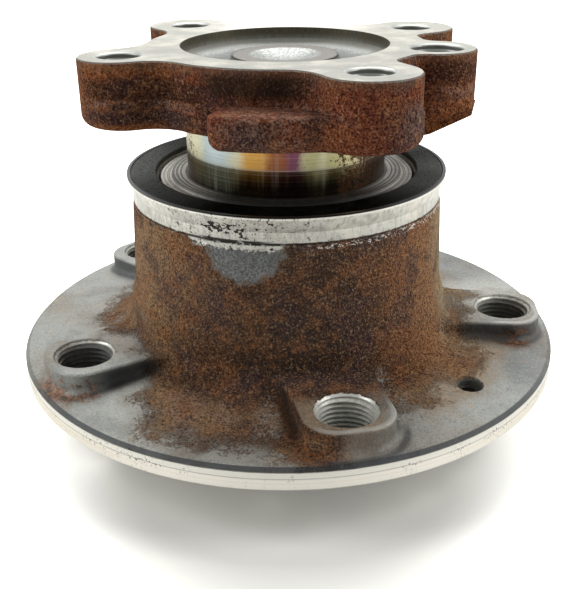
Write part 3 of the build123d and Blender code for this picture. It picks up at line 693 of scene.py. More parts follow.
def wheel_hub_material(colours):
    """Forged, rusty and machined steel of the wheel hub."""
    paint = Paint("hub_forging")
    hole_distance, outline = boss_places(paint)
    screw_distance = flat_distance(paint, DISC_HOLE_CIRCLE, DISC_HOLE_ANGLE)
    bores, band, rim, turned = hub_machined(paint, hole_distance, screw_distance)
    away_from_front = paint.opposite(paint.near(BOSS_START, 22.0, 0.4))
    # Bores away from the front boss: dull, and with painted shade
    dull_shaded_bores = paint.both(bores, away_from_front, paint.fall(paint.z, 24.2, 25.5))
    gap = neck_rust_gap(paint)
    neck = paint.rise(paint.z, 28.0, 34.0)
    dusting = paint.noise(1.9, 3.0, 0.7, at=91.0)
    patch = paint.both(neck_bare_patch(paint), neck)
    streaked = paint.noise(0.9, 3.0, 0.6, at=92.0, stretch=(1.0, 1.0, 0.2))
    patch_grey = paint.layers(
        colours.forging_dark,
        (paint.rise(dusting, 0.4, 0.6), 1.0, colours.forging_blue),
        (paint.both(paint.rise(paint.z, 50.0, 57.0), paint.rise(streaked, 0.4, 0.6)), 0.6,
         colours.forging_dark),
    )
    face = paint.both(paint.rise(paint.z, 25.7, 26.0), paint.rise(paint.radius, 52.0, 58.0))
    boss_end = paint.both(paint.near(-70.0, 12.0, 0.4), paint.rise(paint.radius, 61.0, 66.0))
    kept = paint.both(
        paint.opposite(paint.times(patch, 0.9)),
        paint.opposite(paint.times(face, 0.5)),
        paint.opposite(paint.times(boss_end, 0.9)),
    )
    speckled = paint.plus(gap, paint.times(paint.minus(dusting, 0.5), 22.0))
    rust = paint.both(paint.either(paint.fall(speckled, -4.5, 1.5), neck), kept)
    halo = paint.both(paint.fall(gap, -5.0, 10.0), paint.fall(paint.z, 30.0, 36.0))
    dusty_side = paint.both(
        paint.near(2.0, 34.0, 0.7), paint.patchy(0.36, 0.6, 0.3, 4.0, 0.65, at=99.0),
        paint.rise(paint.z, 24.0, 30.0),
    )
    worn_side = paint.both(
        paint.near(-8.0, 16.0, 0.7), paint.between(paint.z, 27.0, 46.0, 8.0),
        paint.patchy(0.5, 0.6, 0.14, 3.0, 0.6, at=107.0),
    )
    chipped = paint.both(
        paint.between(paint.z, BAND_Z - 0.4, BAND_Z + 0.9, 0.5), paint.near(-46.0, 42.0, 0.3),
        paint.patchy(0.54, 0.6, 1.1, 3.0, 0.7, at=101.0, stretch=(1.0, 1.0, 1.8)),
    )
    wall, crevice_shade, foot = foot_shade_and_rust(paint, outline)
    rusty = grainy_rust(paint, colours, neck_rust_body(paint, colours), 0.5, 0.6)
    foot_rust = paint.mix(paint.patchy(0.4, 0.62, 1.1, 4.0, 0.7, at=73.0),
                          colours.dark_rust_and_shade, colours.rust_orange)
    corner = paint.both(
        paint.rise(paint.radius, 71.9, 72.2), paint.rise(paint.z, 19.05, 19.3),
        paint.rise(paint.near(-90.0, 80.0, 0.5), 0.0, 1.0, 0.4, 1.0),
    )
    right_plate = paint.both(
        paint.either(
            paint.both(paint.near(-24.0, 13.0, 0.6), paint.fall(paint.radius, 58.0, 66.0)),
            paint.both(paint.near(-44.0, 20.0, 0.6), paint.fall(paint.radius, 60.0, 66.0)),
        ),
        paint.fall(paint.z, 23.0, 25.0),
    )
    dusted_face = paint.both(face, paint.near(-82.0, 12.0, 0.4))
    edge_light = paint.both(
        paint.between(outline, -1.3, -0.2, 0.5), paint.rise(paint.z, 24.5, 25.2),
        paint.either(
            paint.both(paint.near(-69.0, 13.0, 0.4), paint.rise(paint.radius, 57.0, 62.0)),
            paint.both(paint.near(-13.0, 9.0, 0.4), paint.rise(paint.radius, 56.0, 60.0)),
            paint.both(paint.near(-78.0, 9.0, 0.4), paint.rise(paint.radius, 65.0, 67.0)),
        ),
    )
    foot_line = paint.both(
        paint.between(outline, 1.6, 3.4, 1.2), paint.fall(paint.z, 21.5, 23.5),
        paint.near(-74.0, 13.0, 0.4), paint.rise(paint.radius, 62.0, 66.0),
    )
    flecks = paint.both(
        paint.patchy(0.5, 0.6, 1.3, 3.0, 0.7, at=76.0), paint.fall(paint.z, 24.0, 27.0),
        paint.either(
            paint.both(paint.near(-94.5, 5.0, 0.8), paint.between(paint.radius, 48.0, 62.0, 4.0)),
            paint.both(paint.near(-63.0, 7.0, 0.8), paint.between(paint.radius, 43.0, 56.0, 4.0)),
        ),
    )
    hub = paint.layers(
        bare_forging(paint, colours),
        (halo, 0.5, colours.stain),
        (paint.both(right_plate, paint.rise(dusting, 0.36, 0.6)), 0.6, colours.stain),
        (paint.both(right_plate, paint.rise(dusting, 0.48, 0.6)), 0.5, colours.rust_tan),
        # Painted shade on the boss walls
        (wall, 0.75, colours.dark_edge_and_shade),
        (patch, 0.9, patch_grey),
        (rust, 0.95, rusty),
        # Painted highlights: pale flecks by the feet of the front boss
        (flecks, 0.6, colours.pale_forging_and_light),
        (foot, 0.7, foot_rust),
        (paint.both(dusted_face, paint.rise(dusting, 0.38, 0.6)), 0.45, colours.rust_tan),
        # Painted highlights along the edges of the bosses
        (edge_light, 0.6, colours.pale_forging_and_light),
        (foot_line, 0.7, colours.dark_edge_and_shade),
        # Painted shade in the creases at the feet of three bosses
        (crevice_shade, 0.85, colours.grime_and_shade),
        (corner, 0.9, colours.dark_edge_and_shade),
        (paint.both(dusty_side, rust), 0.6, colours.rust_grey),
        (paint.both(worn_side, rust), 0.45, colours.forging_blue),
        (chipped, 0.85, colours.white_steel_and_highlight),
    )
    lathe = paint.rings(paint.radius, 3.0)
    turned_steel = paint.mix(paint.rise(lathe, 0.4, 0.7), colours.machined, colours.seal)
    hub = paint.layers(
        hub,
        (turned, 1.0, turned_steel),
        (rim, 1.0, rim_colour(paint, colours)),
        (band, 1.0, band_colour(paint, colours)),
        (bores, 1.0, bore_colour(paint, colours, dull_shaded_bores)),
    )
    bright = paint.either(bores, band, rim, turned)
    bare = paint.opposite(paint.either(bright, rust))
    rough = paint.plus(
        paint.times(paint.plus(0.52, paint.times(rust, 0.35)), paint.opposite(bright)),
        paint.times(bright, 0.36), paint.times(dull_shaded_bores, 0.5),
    )
    metal = paint.plus(paint.times(bright, 0.4), paint.times(bare, 0.3), paint.times(dull_shaded_bores, -0.4))
    paint.surface(hub, rough, metal, 0.12)
    rusted = paint.times(rust, paint.opposite(bright))
    paint.relief(
        (paint.times(grain_height(paint), rusted), 1.0),
        (paint.times(paint.noise(3.4, 2.0, 0.6, at=79.0), paint.opposite(bright)), 0.12),
        (paint.times(paint.noise(0.3, 3.0, 0.6, at=83.0), paint.opposite(bright)), 0.5),
        (paint.times(lathe, bright), 0.02),
    )
    return paint.material


# Spindle

def heat_tint(paint, colours):
    """Ground shaft with the temper colours that heat leaves side by side, painted glints, and painted
    shade that darkens it under its step and turns it black low down.
    """
    wander = paint.wander(7.0, 0.3, 3.0, 0.6, at=5.0)
    place = paint.plus(paint.away(-90.0), wander)
    tempered = paint.layers(
        colours.temper_straw,
        (paint.fall(place, -100.0, -76.0), 0.6, colours.forging),
        (paint.between(place, -53.0, -31.0, 12.0), 0.9, colours.temper_blue),
        (paint.between(place, -24.0, -6.0, 9.0), 0.95, colours.temper_gold),
        (paint.between(place, -10.0, 3.0, 7.0), 0.95, colours.temper_brown),
        (paint.between(place, 0.0, 9.0, 6.0), 0.95, colours.temper_purple),
        (paint.between(place, 10.0, 42.0, 6.0), 0.8, colours.temper_olive),
        # Painted glint of straw
        (paint.between(place, 18.0, 22.0, 4.0), 0.7, colours.temper_straw),
        (paint.rise(place, 38.0, 50.0), 0.9, colours.stain),
        (paint.between(place, 54.0, 74.0, 14.0), 0.6, colours.dark_rust_and_shade),
    )
    # Painted shade over the shaft under its step, kept off the glint
    shaded = paint.mix(1.0, tempered, colours.shaft_shade, "MULTIPLY")
    glint = paint.times(paint.between(place, 13.0, 21.0, 6.0), 0.3)
    tint = paint.mix(paint.either(paint.rise(paint.z, 71.3, 72.1), glint), shaded, tempered)
    streaks = paint.noise(0.6, 3.0, 0.6, at=63.0, stretch=(1.0, 1.0, 0.05))
    # Painted shade that turns the shaft black low down, lower on its lit side
    lit_side = paint.times(paint.near(-136.0, 26.0, 0.6), 2.6)
    low = paint.plus(paint.z, lit_side, paint.times(paint.minus(streaks, 0.5), 7.0))
    deep_shade = paint.fall(low, 67.0, 71.5)
    rust_side = paint.either(
        paint.near(-38.0, 30.0, 0.4), paint.times(paint.near(-164.0, 16.0, 0.5), 0.8)
    )
    specks = paint.plus(paint.noise(0.9, 4.0, 0.7, at=9.0), paint.times(rust_side, 0.16))
    stray = paint.patchy(0.66, 0.72, 2.4, 3.0, 0.6, at=15.0)
    lines = paint.rings(paint.z, 2.6, at=1.0, detail=3.0)
    return paint.layers(
        tint,
        (paint.rise(streaks, 0.5, 0.7), 0.16, colours.ground),
        (paint.rise(lines, 0.56, 0.7), 0.14, colours.machined),
        (paint.rise(lines, 0.46, 0.32), 0.22, colours.grime_and_shade),
        (deep_shade, 0.9, colours.grime_and_shade),
        (paint.between(paint.z, 71.75, 71.95, 0.12), 0.5, colours.machined),
        (paint.rise(specks, 0.62, 0.68), 0.7, colours.rust_brown),
        (paint.rise(specks, 0.66, 0.71), 0.85, colours.dark_rust_and_shade),
        (stray, 0.4, colours.dark_rust_and_shade),
    ), lines


def recess_colours(paint, colours):
    """Turned hollow in the knuckle face: dark wall, streaked floor, painted shade round the foot of the
    boss, tan ring and bright dish.
    """
    spokes = paint.noise(1.6, 4.0, 0.7, at=21.0, stretch=(1.0, 1.0, 0.15))
    mottle = paint.noise(0.25, 3.0, 0.6, at=22.0)
    flecks = paint.patchy(0.46, 0.56, 1.6, 2.0, 0.6, at=27.0)
    wall_top = paint.fall(paint.plus(paint.z, paint.times(spokes, 3.0)), 95.0, 97.8)
    floor_edge = paint.rise(paint.plus(paint.radius, paint.times(spokes, 4.0)), 25.0, 26.0)
    wall = paint.layers(
        colours.recess_dark,
        (paint.rise(spokes, 0.35, 0.65), 0.4, colours.stain),
        (wall_top, 0.5, colours.pale_forging_and_light),
    )
    floor = paint.layers(
        colours.recess_floor,
        (paint.rise(spokes, 0.45, 0.65), 0.3, colours.pale_forging_and_light),
        (paint.rise(mottle, 0.5, 0.66), 0.35, colours.stain),
        (floor_edge, 0.25, colours.ground),
    )
    ring = paint.mix(paint.rise(spokes, 0.4, 0.65), colours.recess_floor, colours.stain)
    dish = paint.mix(paint.times(flecks, 0.7), colours.forging, colours.pale_forging_and_light)
    return paint.layers(
        floor,
        (paint.rise(paint.radius, 24.6, 25.4), 1.0, wall),
        # Painted shade round the foot of the raised boss
        (paint.fall(paint.radius, 13.4, 13.8), 1.0, colours.recess_dark),
        (paint.fall(paint.radius, 12.9, 13.3), 1.0, ring),
        (paint.fall(paint.radius, 8.9, 9.3), 1.0, dish),
    )


def face_colour(paint, colours):
    """Ground knuckle face with a painted reflection that shines at the back; towards the front it turns
    tan, and grey as painted shade.
    """
    turning = paint.rings(paint.radius, 2.4)
    smear = paint.noise(0.12, 4.0, 0.6, at=33.0)
    grain = paint.noise(1.8, 3.0, 0.6, at=34.0)
    # Painted reflection at the back and painted shade towards the front
    reflection_behind = paint.fall(flat_distance(paint, 30.0, 88.0), 8.0, 30.0)
    front = paint.fall(paint.y, -34.0, 16.0)
    return paint.layers(
        colours.face,
        (front, 0.35, colours.forging),
        (reflection_behind, 0.9, colours.white_steel_and_highlight),
        (paint.rise(turning, 0.4, 0.65), 0.15, colours.forging),
        (paint.rise(smear, 0.46, 0.66), 0.3, colours.cream),
        (paint.rise(smear, 0.46, 0.34), 0.3, colours.forging),
        (paint.rise(grain, 0.58, 0.68), 0.25, colours.rust_tan),
        (paint.rise(grain, 0.42, 0.34), 0.2, colours.forging_dark),
    )


def knuckle_hole_distance(paint):
    """Distance from the nearest knuckle bolt hole."""
    nearest = flat_distance(paint, KNUCKLE_HOLE_CIRCLE, KNUCKLE_HOLE_ANGLES[0])
    for angle in KNUCKLE_HOLE_ANGLES[1:]:
        nearest = paint.math("MINIMUM", nearest, flat_distance(paint, KNUCKLE_HOLE_CIRCLE, angle))
    return nearest


def knuckle_rust_body(paint, colours):
    """Red-brown of the knuckle flange with purple-black patches, painted shade over its shelf and a
    painted highlight on it.
    """
    patches = paint.either(
        paint.both(paint.near(-57.0, 14.0, 0.7), paint.between(paint.z, 83.0, 92.0, 4.0)),
        paint.both(paint.near(-99.0, 12.0, 0.9), paint.between(paint.z, 82.0, 88.0, 3.0)),
        paint.both(paint.near(-134.0, 10.0, 0.9), paint.between(paint.z, 82.0, 86.0, 3.0)),
    )
    left_ear = paint.near(-138.0, 22.0, 0.4)
    right_ear = paint.near(-14.0, 20.0, 0.4)
    # Painted shade over the shelves
    shade_over_shelf = paint.either(
        paint.both(paint.between(paint.z, 91.0, 96.0, 2.6), paint.near(-102.0, 25.0, 0.5)),
        paint.times(paint.both(paint.between(paint.z, 88.8, 93.4, 2.6), left_ear), 0.85),
        paint.times(paint.both(paint.between(paint.z, 90.4, 96.0, 3.0), right_ear), 0.8),
    )
    under_shelf = paint.both(paint.between(paint.z, 83.4, 86.4, 1.6), left_ear)
    low_ear = paint.both(paint.fall(paint.z, 86.0, 90.0), right_ear)
    grainy = paint.patchy(0.36, 0.6, 0.6, 3.0, 0.65, at=103.0)
    # Painted highlight in pink grains on the shelves and lobes
    shelf = paint.both(
        grainy,
        paint.either(
            paint.both(paint.between(paint.z, 88.0, 90.4, 1.4), paint.near(-92.0, 20.0, 0.4)),
            paint.both(paint.between(paint.z, 86.8, 88.8, 1.0), left_ear),
            paint.both(paint.between(paint.z, 87.0, 90.0, 1.6), right_ear),
            paint.both(paint.between(paint.z, 80.0, 88.0, 3.0), paint.near(-96.0, 20.0, 0.6), 0.7),
            paint.both(paint.between(paint.z, 82.0, 92.0, 4.0), paint.near(-50.0, 16.0, 0.6), 0.7),
        ),
    )
    red = paint.either(paint.near(-168.0, 50.0, 0.6), paint.near(4.0, 34.0, 0.7))
    return paint.layers(
        colours.rust_red,
        (red, 0.55, colours.rust_orange),
        (patches, 0.85, colours.rust_purple),
        (shade_over_shelf, 0.95, colours.dark_rust_and_shade),
        (under_shelf, 0.85, colours.rust_purple),
        (under_shelf, 0.4, colours.dark_rust_and_shade),
        (low_ear, 0.45, colours.rust_orange),
        (shelf, 0.6, colours.pink_rust_and_highlight),
    )


def spindle_material(colours):
    """Rusty forged flange, machined face and heat-tinted shaft of the spindle."""
    paint = Paint("spindle_forging")
    hole = knuckle_hole_distance(paint)
    sensor = flat_distance(paint, SENSOR_CIRCLE, SENSOR_ANGLE)
    rusty = grainy_rust(paint, colours, knuckle_rust_body(paint, colours), 0.3, 0.45)
    tint, lines = heat_tint(paint, colours)
    shaft = paint.both(paint.fall(paint.radius, 26.6, 28.4), paint.fall(paint.z, 80.0, 81.2))
    face = paint.rise(paint.z, KNUCKLE_FACE_Z - 0.12, KNUCKLE_FACE_Z - 0.05)
    chips = paint.times(paint.noise(1.2, 3.0, 0.6, at=31.0), 0.6)
    edge = paint.rise(paint.plus(paint.z, chips), 97.35, 97.7)
    recess = paint.both(paint.fall(paint.radius, 26.35, 26.5), paint.rise(paint.z, 90.0, 90.5))
    outside = paint.rise(paint.radius, 27.0, 28.0)
    bores = paint.both(paint.either(paint.fall(hole, 5.8, 5.95), paint.fall(sensor, 6.95, 7.1)), outside)
    inside = paint.both(paint.either(paint.fall(hole, 5.3, 5.5), paint.fall(sensor, 6.55, 6.75)), outside)
    shade = paint.both(paint.between(paint.z, 91.2, 96.0, 2.4), paint.near(-102.0, 24.0, 0.5))
    bore = paint.layers(
        colours.pale_forging_and_light,
        (inside, 0.5, colours.forging),
        # Painted shade deeper in the knuckle bolt and sensor holes
        (paint.both(inside, paint.fall(paint.z, 90.0, 96.4)), 0.6, colours.grime_and_shade),
    )
    colour = paint.layers(
        rusty,
        (shade, 0.65, colours.dark_rust_and_shade),
        (shaft, 1.0, tint),
        (paint.rise(paint.z, 94.6, 97.4), 0.3, colours.stain),
        (edge, 0.5, colours.pale_forging_and_light),
        (face, 1.0, face_colour(paint, colours)),
        (recess, 1.0, recess_colours(paint, colours)),
        (bores, 1.0, bore),
    )
    bright = paint.either(shaft, face, recess, bores)
    rough = paint.plus(paint.times(bright, -0.52), 0.88)
    metal = paint.either(paint.times(bright, 0.3), paint.times(shaft, 0.85))
    paint.surface(colour, rough, metal, 0.1)
    rusted = paint.opposite(bright)
    ears = paint.either(paint.near(-140.0, 26.0, 0.4), paint.near(-18.0, 30.0, 0.4))
    shelf = paint.both(paint.fall(paint.z, 86.2, 89.0), ears)
    paint.relief(
        (paint.times(grain_height(paint), rusted), 1.1),
        (paint.times(paint.noise(0.3, 3.0, 0.6, at=39.0), rusted), 0.7),
        (paint.times(shelf, rusted), 1.6),
        (paint.times(lines, shaft), 0.015),
        (paint.both(paint.math("PINGPONG", paint.z, 0.75), bores, paint.opposite(face)), 0.5),
    )
    return paint.material


# Bearing parts, seal, encoder and cap

def polished_material(colours):
    """Polished bearing steel with fine lapping marks."""
    paint = Paint("bearing_steel")
    marks = paint.noise(2.0, 4.0, 0.7, warp=1.5)
    colour = paint.mix(paint.rise(marks, 0.4, 0.7), colours.machined, colours.ground)
    paint.surface(colour, paint.rise(marks, 0.3, 0.7, 0.08, 0.16), 1.0)
    paint.relief((marks, 0.004))
    return paint.material


def cage_material(colours):
    """Moulded cage with a fine satin grain and a film of grease."""
    paint = Paint("cage_polymer")
    grain = paint.noise(5.0, 3.0, 0.6)
    grease = paint.patchy(0.45, 0.65, 0.4, 3.0, 0.6, at=3.0)
    colour = paint.layers(colours.nylon, (grease, 0.4, colours.rust_tan),
                          (paint.rise(grain, 0.55, 0.7), 0.2, colours.dust))
    paint.surface(colour, paint.plus(0.5, paint.times(grease, -0.25)))
    paint.relief((grain, 0.02))
    return paint.material


def seal_material(colours):
    """Stamped seal steel with turned lines and dust, painted light at the sides and painted shade that
    turns it black in front.
    """
    paint = Paint("seal_steel")
    lines = paint.rings(paint.radius, 1.1, at=5.0, detail=3.0)
    dust = paint.noise(0.5, 4.0, 0.7, at=7.0)
    specks = paint.patchy(0.6, 0.68, 2.0, 3.0, 0.6, at=11.0)
    # Painted shade in front, painted light at the sides
    front = paint.near(-86.0, 62.0, 0.5)
    colour = paint.layers(
        colours.seal,
        (paint.opposite(front), 0.6, colours.white_steel_and_highlight),
        (paint.rise(lines, 0.44, 0.6), 0.75, colours.forging_dark),
        (paint.rise(dust, 0.5, 0.7), 0.3, colours.dust),
        (specks, 0.6, colours.grime_and_shade),
        (front, 0.96, colours.grime_and_shade),
    )
    metal = paint.times(paint.opposite(front), 0.35)
    paint.surface(colour, paint.rise(dust, 0.3, 0.7, 0.4, 0.6), metal, 0.1)
    paint.relief((lines, 0.05), (dust, 0.03))
    return paint.material


def rubber_material(name, colours, dusty):
    """Black rubber with moulded circles and dust that gathers on it."""
    paint = Paint(name)
    specks = paint.patchy(0.6, 0.7, 2.2, 3.0, 0.65)
    film = paint.patchy(0.42, 0.7, 0.25, 4.0, 0.65, at=5.0)
    lines = paint.rings(paint.radius, 1.6, at=9.0)
    sides = paint.either(paint.near(178.0, 70.0, 0.7), paint.near(0.0, 60.0, 0.7))
    dots = paint.patchy(0.6, 0.64, 1.1, 3.0, 0.65, at=17.0)
    colour = paint.layers(
        colours.rubber,
        (film, 0.04 * dusty, colours.dust),
        (sides, 0.55 * dusty, colours.forging),
        (specks, paint.plus(0.06 * dusty, paint.times(sides, 0.3)), colours.machined),
        (paint.both(dots, sides), 0.85, colours.rubber),
    )
    paint.surface(colour, paint.rise(film, 0.0, 1.0, 0.85, 1.0), 0.0, 0.0)
    paint.relief((lines, 0.04), (paint.noise(3.0, 2.0, 0.6, at=13.0), 0.03))
    return paint.material


def cap_material(colours):
    """Zinc-plated pressed cap with a fine spangle."""
    paint = Paint("cap_steel")
    spangle = paint.cells(0.5)
    scuffs = paint.noise(0.8, 4.0, 0.7, at=5.0, stretch=(1.0, 4.0, 1.0))
    colour = paint.layers(
        colours.cap,
        (paint.rise(spangle, 0.2, 0.8), 0.3, colours.seal),
        (paint.rise(scuffs, 0.55, 0.7), 0.3, colours.forging_dark),
    )
    paint.surface(colour, paint.rise(scuffs, 0.3, 0.7, 0.32, 0.5), 0.85)
    paint.relief((scuffs, 0.02))
    return paint.material


# Threads

def thread_ridge(name, centre, radius, crest, low_z, high_z, pitch, steps):
    """Screw thread as one ridge that winds up the wall of a hole and fades at both ends."""
    turns = (high_z - low_z) / pitch - 1
    stations = round(turns * steps)
    rooted = radius + THREAD_ROOT * MM
    rings = []
    mesh = bmesh.new()
    for index in range(stations + 1):
        turn = index / steps
        fade = min(1.0, THREAD_FADE * turn, THREAD_FADE * (turns - turn))
        height = (rooted - crest) * max(fade, THREAD_LEAST)
        along, across = cos(tau * turn), sin(tau * turn)
        ring = []
        for high, share in THREAD_PROFILE:
            reach = rooted - height * high
            place = low_z + pitch * turn + pitch * share
            ring.append(mesh.verts.new((centre[0] + reach * along, centre[1] + reach * across, place)))
        rings.append(ring)
    for first, second in zip(rings, rings[1:]):
        for side in range(4):
            other = (side + 1) % 4
            mesh.faces.new((first[side], first[other], second[other], second[side]))
    mesh.faces.new(rings[0])
    mesh.faces.new(reversed(rings[-1]))
    bmesh.ops.recalc_face_normals(mesh, faces=mesh.faces)
    data = bpy.data.meshes.new(name)
    mesh.to_mesh(data)
    mesh.free()
    ridge = bpy.data.objects.new(name, data)
    bpy.context.scene.collection.objects.link(ridge)
    return ridge


def cut_thread(name, radius_mm, angle, hole_radius, ridge, pitch, low_z, high_z, steps):
    """A thread ridge in one hole of the wheel flange, which turns with the hub."""
    x, y = in_plan(radius_mm * MM, angle)
    thread = thread_ridge(
        name, (x, y), hole_radius * MM, hole_radius * MM - ridge, low_z, high_z, pitch, steps
    )
    thread.data.materials.append(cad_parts["wheel_hub"].material_slots[0].material)
    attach(thread, "hub")


# Stage

def area_lamp(name, place, width, depth, power):
    """Soft rectangular lamp that faces the hub."""
    data = bpy.data.lights.new(name, "AREA")
    data.shape = "RECTANGLE"
    data.size = width
    data.size_y = depth
    data.energy = power
    lamp = bpy.data.objects.new(name, data)
    lamp.location = place
    lamp.rotation_euler = (Vector(LAMP_AIM) - Vector(place)).to_track_quat("-Z", "Y").to_euler()
    bpy.context.scene.collection.objects.link(lamp)


def camera_matrix(stage):
    """Place and turn of the camera from where it looks, how far and how steeply."""
    target = Vector((stage.side, 0.0, stage.height))
    forward = Vector((0.0, cos(stage.tilt), -sin(stage.tilt)))
    right = Vector((1.0, 0.0, 0.0))
    above = right.cross(forward)
    turned_right = right * cos(stage.roll) + above * sin(stage.roll)
    turned_up = turned_right.cross(forward)
    matrix = Matrix((turned_right, turned_up, -forward)).transposed().to_4x4()
    matrix.translation = target - forward * stage.distance
    return matrix


def place_camera(stage):
    """Camera that frames the hub as the photograph does."""
    scene = bpy.context.scene
    data = bpy.data.cameras.new("camera")
    data.lens = stage.lens / MM
    data.sensor_width = SENSOR_MM
    data.clip_start = 0.01
    data.clip_end = 20.0
    camera = bpy.data.objects.new("camera", data)
    scene.collection.objects.link(camera)
    camera.matrix_world = camera_matrix(stage)
    scene.camera = camera


def floor_strength(nodes):
    """Glow of the floor where the camera sees it, which grows away from the shadow in front."""
    shift = nodes.add("Mapping")
    nodes.join(nodes.add("TexCoord").outputs["Object"], shift.inputs["Vector"])
    nodes.join(SHADOW_SHIFT, shift.inputs["Location"])
    nodes.join(SHADOW_SCALE, shift.inputs["Scale"])
    distance = nodes.add("VectorMath")
    distance.operation = "LENGTH"
    nodes.join(shift.outputs[0], distance.inputs[0])
    grown = nodes.rise(distance.outputs["Value"], *SHADOW_EDGE, *FLOOR_GLOW)
    return nodes.math("MULTIPLY", grown, nodes.add("LightPath").outputs["Is Camera Ray"])


def plain_floor(stage):
    """Pale table that keeps the shadow and meets a white background."""
    mesh = bmesh.new()
    bmesh.ops.create_grid(mesh, x_segments=1, y_segments=1, size=FLOOR_HALF)
    data = bpy.data.meshes.new("floor")
    mesh.to_mesh(data)
    mesh.free()
    floor = bpy.data.objects.new("floor", data)
    floor.location.z = -FLOOR_DROP
    bpy.context.scene.collection.objects.link(floor)
    material = bpy.data.materials.new("floor_paper")
    material.use_nodes = True
    nodes = Nodes(material.node_tree)
    nodes.tree.nodes.clear()
    diffuse = nodes.add("BsdfDiffuse")
    nodes.join(stage.floor, diffuse.inputs["Color"])
    glow = nodes.add("Emission")
    nodes.join(stage.floor_glow, glow.inputs["Color"])
    nodes.join(floor_strength(nodes), glow.inputs["Strength"])
    both = nodes.add("AddShader")
    nodes.join(diffuse.outputs[0], both.inputs[0])
    nodes.join(glow.outputs[0], both.inputs[1])
    nodes.join(both.outputs[0], nodes.add("OutputMaterial").inputs["Surface"])
    data.materials.append(material)


def white_world(stage):
    """World that is white where it is seen, reflected or looked through, and soft as a lamp."""
    world = bpy.data.worlds.new("studio")
    bpy.context.scene.world = world
    world.use_nodes = True
    nodes = Nodes(world.node_tree)
    background = world.node_tree.nodes["Background"]
    nodes.join((1.0, 1.0, 1.0), background.inputs["Color"])
    path = nodes.add("LightPath").outputs
    strength = stage.world_light
    for ray in ("Is Camera Ray", "Is Transmission Ray", "Is Glossy Ray"):
        strength = nodes.math("MAXIMUM", path[ray], strength)
    nodes.join(strength, background.inputs["Strength"])


# Operators

class HUB_OT_finish_wheel_hub(bpy.types.Operator):
    """Gives the wheel hub its forged, rusty and machined finish"""

    bl_idname = "hub.finish_wheel_hub"
    bl_label = "Finish wheel hub"

    def execute(self, context):
        dress(wheel_hub_material(context.scene.hub_colours), "wheel_hub")
        return {"FINISHED"}


class HUB_OT_cut_threads(bpy.types.Operator):
    """Winds the screw threads in the wheel bolt bosses and the disc screw hole"""

    bl_idname = "hub.cut_threads"
    bl_label = "Cut threads"

    def execute(self, context):
        sizes = context.scene.hub_threads
        low_z = (PILOT_END_Z + BOLT_THREAD_RISE) * MM
        for number in range(BOSS_COUNT):
            cut_thread(
                f"wheel_bolt_thread_{number + 1}", BOSS_CIRCLE, BOSS_START + 360 / BOSS_COUNT * number,
                BOLT_HOLE, sizes.bolt_ridge, sizes.bolt_pitch, low_z,
                BOSS_FACE_Z * MM - sizes.bolt_run_in, sizes.steps,
            )
        cut_thread(
            "disc_screw_thread", DISC_HOLE_CIRCLE, DISC_HOLE_ANGLE, DISC_HOLE, sizes.screw_ridge,
            sizes.screw_pitch, (PILOT_END_Z + SCREW_THREAD_RISE) * MM,
            (RIM_TOP_Z - SCREW_RUN_IN) * MM, sizes.steps,
        )
        return {"FINISHED"}


class HUB_OT_finish_spindle(bpy.types.Operator):
    """Gives the spindle its rusty flange, machined face and heat-tinted shaft"""

    bl_idname = "hub.finish_spindle"
    bl_label = "Finish spindle"

    def execute(self, context):
        dress(spindle_material(context.scene.hub_colours), "spindle")
        return {"FINISHED"}


class HUB_OT_finish_rows(bpy.types.Operator):
    """Polishes the balls and the inner ring and gives the cages their plastic"""

    bl_idname = "hub.finish_rows"
    bl_label = "Finish rows of balls"

    def execute(self, context):
        colours = context.scene.hub_colours
        balls = [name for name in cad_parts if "_ball_" in name and not name.endswith("cage")]
        dress(polished_material(colours), "outboard_inner_ring", *balls)
        dress(cage_material(colours), "inboard_ball_cage", "outboard_ball_cage")
        return {"FINISHED"}


class HUB_OT_finish_seal(bpy.types.Operator):
    """Gives the seal its stamped steel and its rubber lips"""

    bl_idname = "hub.finish_seal"
    bl_label = "Finish seal"

    def execute(self, context):
        colours = context.scene.hub_colours
        dress(seal_material(colours), "seal_slinger", "seal_carrier", "encoder_carrier")
        dress(rubber_material("seal_rubber", colours, 0.5), "seal_lips")
        return {"FINISHED"}


class HUB_OT_finish_encoder(bpy.types.Operator):
    """Gives the encoder ring its dusty black rubber"""

    bl_idname = "hub.finish_encoder"
    bl_label = "Finish encoder"

    def execute(self, context):
        dress(rubber_material("encoder_rubber", context.scene.hub_colours, 1.0), "encoder_ring")
        return {"FINISHED"}


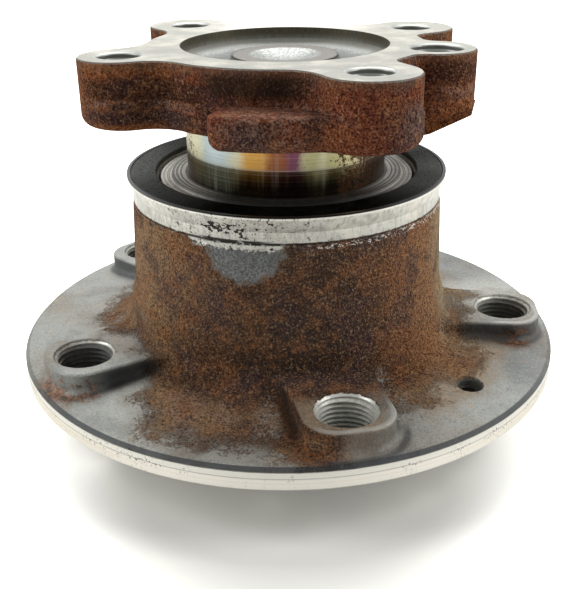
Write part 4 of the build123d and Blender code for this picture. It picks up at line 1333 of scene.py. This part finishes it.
class HUB_OT_finish_cap(bpy.types.Operator):
    """Gives the dust cap its zinc plate"""

    bl_idname = "hub.finish_cap"
    bl_label = "Finish dust cap"

    def execute(self, context):
        dress(cap_material(context.scene.hub_colours), "end_cap")
        return {"FINISHED"}


class HUB_OT_stage(bpy.types.Operator):
    """Sets the floor, the lamps and the camera"""

    bl_idname = "hub.stage"
    bl_label = "Set the stage"

    def execute(self, context):
        stage = context.scene.hub_stage
        context.scene.view_settings.view_transform = "Standard"
        plain_floor(stage)
        white_world(stage)
        area_lamp("top_softbox", TOP_PLACE, 0.7, 0.6, stage.top_light)
        area_lamp("left_strip", LEFT_PLACE, 0.3, 0.9, stage.side_light)
        area_lamp("right_strip", RIGHT_PLACE, 0.3, 0.9, stage.side_light)
        area_lamp("front_fill", FRONT_PLACE, 0.5, 0.5, stage.front_light)
        place_camera(stage)
        return {"FINISHED"}


class HUB_PT_finishes(bpy.types.Panel):
    """Steps that dress the hub, in order."""

    bl_label = "Wheel hub bearing"
    bl_idname = "HUB_PT_finishes"
    bl_space_type = "VIEW_3D"
    bl_region_type = "UI"
    bl_category = "Hub"

    def draw(self, context):
        for operator in OPERATORS:
            self.layout.operator(operator.bl_idname)


OPERATORS = (
    HUB_OT_finish_wheel_hub,
    HUB_OT_cut_threads,
    HUB_OT_finish_spindle,
    HUB_OT_finish_rows,
    HUB_OT_finish_seal,
    HUB_OT_finish_encoder,
    HUB_OT_finish_cap,
    HUB_OT_stage,
)
GROUPS = {"hub_threads": HubThreadSizes, "hub_colours": HubColours, "hub_stage": HubStage}


def register():
    for group in GROUPS.values():
        bpy.utils.register_class(group)
    for name, group in GROUPS.items():
        setattr(bpy.types.Scene, name, PointerProperty(type=group))
    for shown in (*OPERATORS, HUB_PT_finishes):
        bpy.utils.register_class(shown)


def unregister():
    for shown in (HUB_PT_finishes, *reversed(OPERATORS)):
        bpy.utils.unregister_class(shown)
    for name, group in GROUPS.items():
        delattr(bpy.types.Scene, name)
        bpy.utils.unregister_class(group)


def main():
    register()
    for operator in OPERATORS:
        section, action = operator.bl_idname.split(".")
        getattr(getattr(bpy.ops, section), action)()


if __name__ == "__main__":
    main()
